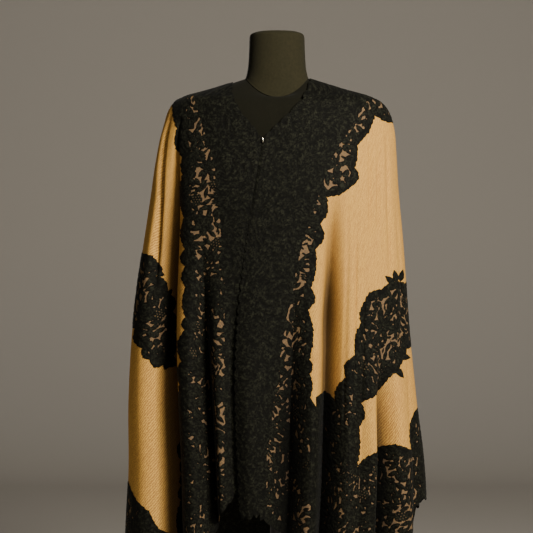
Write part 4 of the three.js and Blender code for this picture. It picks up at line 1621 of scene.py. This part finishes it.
        # Tones for the finish: the painted sheen share, and painted shade deep in folds.
        tones = np.stack([raised, self.drape.fold_shade(grid.s, grid.level)], axis=-1)
        point = grid.point + normal * lift[..., None]
        sheet = ClothSheet.of_grid(point, np.stack([grid.u, -grid.v], axis=-1), tones)
        piece = place(sheet.cut(keep.ravel()).mesh("raised", "fold_shade"), plan.name, self.finish)
        settle(piece, "lace", plan.node)
        return piece

    def build_all(self, wool: bpy.types.Object) -> list[bpy.types.Object]:
        """Builds every piece of the lace.

        Args:
            wool: The panel that the lace is sewn to.

        Returns:
            The pieces.
        """
        outlines = self.outlines()
        return [self.build(plan, outlines[plan.outline], wool) for plan in self.plans]


@dataclass
class DressForm:
    """The padded body and neck of the dress form, smooth and without limbs."""

    jersey: bpy.types.Material
    neck_cover: bpy.types.Material
    squareness: float = 0.08
    sides: int = 144
    steps: int = 5
    neck_top: float = 1494
    seam: float = 0.3
    notch: float = 1.4
    # Sections down the body, as the drape's but the same to both sides.
    body: Columns = table(
        "z dip rise side front back",
        (1402, 44, 26, 62, 60, 64),
        (1392, 33, 22, 93, 70, 76),
        (1377, 22, 16, 137, 79, 86),
        (1358, 11, 8, 183, 87, 95),
        (1338, 4, 3, 200, 93, 100),
        (1304, 0, 0, 206, 101, 104),
        (1255, 0, 0, 194, 112, 106),
        (1170, 0, 0, 163, 128, 103),
        (1080, 0, 0, 140, 108, 95),
        (985, 0, 0, 124, 92, 88),
        (880, 0, 0, 152, 100, 106),
        (790, 0, 0, 168, 104, 122),
        (715, 0, 0, 163, 100, 118),
        (690, 0, 0, 146, 88, 104),
    )
    # Sections up the neck: share of its height, half width, half depths and lean to the back.
    neck: Columns = table(
        "up side front back y",
        (0, 61, 59, 63, 0),
        (0.012, 63.4, 61.4, 65.4, 0),
        (0.035, 61.8, 59.8, 63.6, 0.4),
        (0.25, 58, 55, 58, 3),
        (0.6, 56, 53, 54, 6),
        (0.9, 55, 53, 53, 8),
        (0.97, 52.5, 50, 50, 8),
        (1, 46, 44, 44, 8),
    )

    def ring(self, part: dict[str, float]) -> np.ndarray:
        """Points round one oval section.

        Args:
            part: The section's sizes.

        Returns:
            The points, from the front towards +X.
        """
        angle = np.arange(self.sides) / self.sides * math.tau
        along = np.where(np.cos(angle) > 0, part["front"], part["back"])
        along[:: self.sides // 2] -= part.get("notch", 0)
        return np.stack(oval(part, angle, part["side"], along, self.squareness), axis=-1)

    def skin(self, rings: list[np.ndarray]) -> bmesh.types.BMesh:
        """Draws a closed skin up or down through rings of points.

        Args:
            rings: The rings.

        Returns:
            The skin, its faces outwards.
        """
        bm = bmesh.new()
        made = bmesh.ops.create_circle(bm, segments=self.sides, radius=1, cap_ends=False)
        verts = list(made["verts"])
        edges = list(bm.edges)
        for number, points in enumerate(rings):
            if number:
                made = bmesh.ops.extrude_edge_only(bm, edges=edges)["geom"]
                edges = [g for g in made if isinstance(g, bmesh.types.BMEdge)
                         and all(v in made for v in g.verts)]
                above = {edge.other_vert(v): v for v in made if isinstance(v, bmesh.types.BMVert)
                         for edge in v.link_edges}
                verts = [above[v] for v in verts]
            for vert, point in zip(verts, points, strict=True):
                vert.co = point
        bmesh.ops.holes_fill(bm, edges=bm.edges, sides=0)
        bmesh.ops.recalc_face_normals(bm, faces=bm.faces)
        return bm

    def build_body(self) -> bpy.types.Object:
        """Builds the jersey-covered body.

        Returns:
            The body.
        """
        last = len(self.body["z"]) - 1
        levels = np.linspace(0, last, last * self.steps + 1)
        rings = [self.ring({name: spline(values, level) for name, values in self.body.items()}
                           | {"notch": self.notch})
                 for level in levels]
        piece = place(mesh_of(self.skin(rings)), "form_body", self.jersey)
        settle(piece, "jersey", "form_torso")
        return piece

    def build_neck(self) -> bpy.types.Object:
        """Builds the neck, its rounded top covered in cloth.

        Returns:
            The neck.
        """
        seam = self.ring({name: float(values[0]) for name, values in self.body.items()})[:, 2]
        last = len(self.neck["up"]) - 1
        rings = []
        for level in np.linspace(0, last, last * self.steps + 1):
            at = np.array(level)
            part = {name: float(spline(values, at)) for name, values in self.neck.items()}
            points = self.ring({**part, "z": 0, "dip": 0, "rise": 0})
            points[:, 1] += part["y"]
            points[:, 2] = seam + self.seam + (self.neck_top - seam - self.seam) * part["up"]
            rings.append(points)
        piece = place(mesh_of(self.skin(rings)), "form_neck_cover", self.neck_cover)
        settle(piece, "neck_cover", "form_neck")
        return piece


@dataclass
class Stand:
    """The plain stand under the form: a collar, a pole and a round weighted base."""

    paint: bpy.types.Material
    turns: int = 96
    collar_top: float = 689.7
    collar_radius: float = 46
    collar_deep: float = 26
    pole_radius: float = 14
    base_radius: float = 190
    base_thick: float = 16
    boss_radius: float = 34
    boss_top: float = 46
    seam: float = 0.3
    sharp_deg: float = 40

    def turned(self, profile: Guide, name: str, node: str) -> bpy.types.Object:
        """Turns a profile on the stand's upright axis.

        Args:
            profile: Radius and height along the profile, from the foot up.
            name: The piece's name.
            node: The solid that it stands for.

        Returns:
            The turned piece.
        """
        bm = bmesh.new()
        verts = [bm.verts.new((radius, 0, z)) for radius, z in profile]
        edges = [bm.edges.new(pair) for pair in zip(verts[:-1], verts[1:], strict=True)]
        bmesh.ops.spin(bm, geom=[*verts, *edges], cent=(0, 0, 0), axis=(0, 0, 1), angle=math.tau,
                       steps=self.turns, use_merge=True)
        bmesh.ops.remove_doubles(bm, verts=bm.verts, dist=0.001)
        bmesh.ops.recalc_face_normals(bm, faces=bm.faces)
        piece = place(mesh_of(bm), name, self.paint)
        piece.data.set_sharp_from_angle(angle=math.radians(self.sharp_deg))
        settle(piece, "stand", node)
        return piece

    def build(self) -> list[bpy.types.Object]:
        """Builds the three turned pieces.

        Returns:
            The collar, the pole and the base.
        """
        foot, top = self.collar_top - self.collar_deep, self.collar_top
        collar = [(0, foot), (self.collar_radius - 8, foot), (self.collar_radius - 4, foot + 1.2),
                  (self.collar_radius - 1.2, foot + 4), (self.collar_radius, foot + 8),
                  (self.collar_radius, top), (0, top)]
        low, high = self.boss_top + self.seam, foot - self.seam
        pole = [(0, low), (self.pole_radius, low), (self.pole_radius, high), (0, high)]
        rim, thick = self.base_radius, self.base_thick
        base = [(0, 0), (rim - 2, 0), (rim - 0.6, 0.6), (rim, 2), (rim, thick - 6),
                (rim - 0.8, thick - 3), (rim - 3, thick - 0.8), (rim - 6, thick),
                (self.boss_radius + 10, thick + 4), (self.boss_radius + 3, thick + 7),
                (self.boss_radius, thick + 12), (self.boss_radius - 5.5, self.boss_top - 2),
                (self.boss_radius - 7.5, self.boss_top), (0, self.boss_top)]
        return [self.turned(profile, name, f"stand_{name}")
                for profile, name in ((collar, "collar"), (pole, "pole"), (base, "base"))]


@dataclass
class ShawlPin:
    """The small bright pin that holds the two fronts together."""

    steel: bpy.types.Material
    blunt: float = 0.6

    def build(self) -> bpy.types.Object:
        """Builds the pin's rounded bar where its solid lies.

        Returns:
            The pin.
        """
        low, high = (np.array(corner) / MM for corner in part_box("shawl_pin"))
        middle, size = (low + high) / 2, high - low
        bm = bmesh.new()
        bmesh.ops.create_uvsphere(bm, u_segments=24, v_segments=16, radius=0.5)
        for vert in bm.verts:
            vert.co.z = math.copysign(abs(2 * vert.co.z) ** self.blunt, vert.co.z) / 2
        bmesh.ops.scale(bm, vec=tuple(size), verts=bm.verts)
        bmesh.ops.translate(bm, vec=tuple(middle), verts=bm.verts)
        piece = place(mesh_of(bm), "pin", self.steel)
        settle(piece, "pin", "shawl_pin")
        return piece


@dataclass(frozen=True)
class Lamp:
    """A soft square lamp: its place and side in metres, its watts and its tint."""

    name: str
    at: Triple
    side: float
    watts: float
    tint: str


@dataclass
class Studio:
    """A pale sweep of paper, soft lamps and the camera in front of the form, in metres."""

    paper: str = "CCC7BE"
    fibre_mm: float = 25.0
    half_floor: float = 9.0
    bend_at: float = 4.0
    bend: float = 1.2
    bend_steps: int = 14
    wall_top: float = 5.0
    aim: Triple = (0.0, 0.0, 1.2)
    lamps: tuple[Lamp, ...] = (
        Lamp("key", (1.3, -2.0, 2.3), 0.9, 152, "FFF8EE"),
        Lamp("fill", (-0.2, -2.2, 3.0), 1.0, 9, "FFF8F0"),
        Lamp("back", (-0.3, 2.3, 1.25), 1.4, 52, "FFF8F0"),
    )
    room: str = "F2EFE8"
    room_light: float = 0.04
    camera_at: Triple = (-0.021, -3.0, 1.027)
    lens: float = 101.3
    sensor: float = 36.0

    def matt_paper(self) -> bpy.types.Material:
        """Builds the finish of uncoated paper: pale, matt, with a faint grain of fibres.

        Returns:
            The paper's material.
        """
        material, tree = new_material("matt paper")
        spot = add_node(tree, "ShaderNodeTexCoord")
        fibre = add_node(tree, "ShaderNodeTexNoise",
                         {"Scale": 1 / (self.fibre_mm * MM), "Detail": 3.0},
                         {"Vector": (spot, "Object")})
        bump = add_node(tree, "ShaderNodeBump", {"Strength": 0.05, "Distance": 0.001},
                        {"Height": (fibre, "Fac")})
        sheet = add_node(tree, "ShaderNodeBsdfPrincipled",
                         {"Base Color": linear(self.paper), "Roughness": 0.95,
                          "Specular IOR Level": 0.1},
                         {"Normal": (bump, "Normal")})
        add_node(tree, "ShaderNodeOutputMaterial", links={"Surface": (sheet, "BSDF")})
        return material

    def backdrop(self) -> None:
        """Builds the floor that sweeps up behind the form."""
        profile = [(-self.half_floor, 0.0), (self.bend_at, 0.0)]
        profile += [(self.bend_at + self.bend * math.sin(a), self.bend - self.bend * math.cos(a))
                    for a in np.linspace(0.1, math.pi / 2, self.bend_steps)]
        profile.append((self.bend_at + self.bend, self.wall_top))
        bm = bmesh.new()
        verts = [bm.verts.new((-self.half_floor, y, z)) for y, z in profile]
        edges = [bm.edges.new(pair) for pair in zip(verts[:-1], verts[1:], strict=True)]
        made = bmesh.ops.extrude_edge_only(bm, edges=edges)["geom"]
        moved = [g for g in made if isinstance(g, bmesh.types.BMVert)]
        bmesh.ops.translate(bm, vec=(2 * self.half_floor, 0, 0), verts=moved)
        bmesh.ops.recalc_face_normals(bm, faces=bm.faces)
        place(mesh_of(bm, unit=1), "paper_sweep", self.matt_paper())

    def hang(self, lamp: Lamp) -> None:
        """Hangs a lamp, pointed at the shoulders and out of the camera's sight.

        Args:
            lamp: The lamp.
        """
        light = bpy.data.lights.new(lamp.name, "AREA")
        light.size, light.energy, light.color = lamp.side, lamp.watts, linear(lamp.tint)[:3]
        way = np.array(self.aim) - np.array(lamp.at)
        tilt = math.acos(-way[2] / np.linalg.norm(way))
        hung = bpy.data.objects.new(lamp.name, light)
        hung.location = lamp.at
        hung.rotation_euler = (tilt, 0.0, math.atan2(-way[0], way[1]))
        hung.visible_camera = False
        bpy.context.scene.collection.objects.link(hung)

    def build(self) -> None:
        """Sets the sweep, the lamps, the room light and the camera."""
        self.backdrop()
        for lamp in self.lamps:
            self.hang(lamp)
        world = bpy.data.worlds.new("room")
        world.use_nodes = True
        room = world.node_tree.nodes["Background"]
        room.inputs["Color"].default_value = linear(self.room)
        room.inputs["Strength"].default_value = self.room_light
        bpy.context.scene.world = world
        camera = bpy.data.cameras.new("front")
        camera.lens, camera.sensor_width, camera.sensor_fit = self.lens, self.sensor, "HORIZONTAL"
        eye = bpy.data.objects.new("front", camera)
        eye.location = self.camera_at
        eye.rotation_euler = (math.pi / 2, 0, 0)
        bpy.context.scene.collection.objects.link(eye)
        bpy.context.scene.camera = eye


def main() -> None:
    """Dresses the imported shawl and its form, piece by piece."""
    logging.basicConfig(level=logging.INFO, format="%(name)s: %(message)s")
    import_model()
    Studio().build()
    form = DressForm(
        CoverCloth("black cotton jersey", "0F0F09", "191810").make(),
        CoverCloth("olive-grey neck cover", "1C1B11", "302D1E").make(),
    )
    body = form.build_body()
    form.build_neck()
    Stand(Metal("steel under satin black paint", "141414", 0.0, 0.5, 0.32).make()).build()
    drape = Drape()
    panel = WoolPanel(drape, CamelTwill().make())
    lace = LaceWork(drape, panel, CordedLace().make())
    lace.build_all(panel.build(lace, body))
    ShawlPin(Metal("bright steel wire", "D8D2BC", 1.0, 0.35, 0.18).make()).build()


if __name__ == "__main__":
    main()
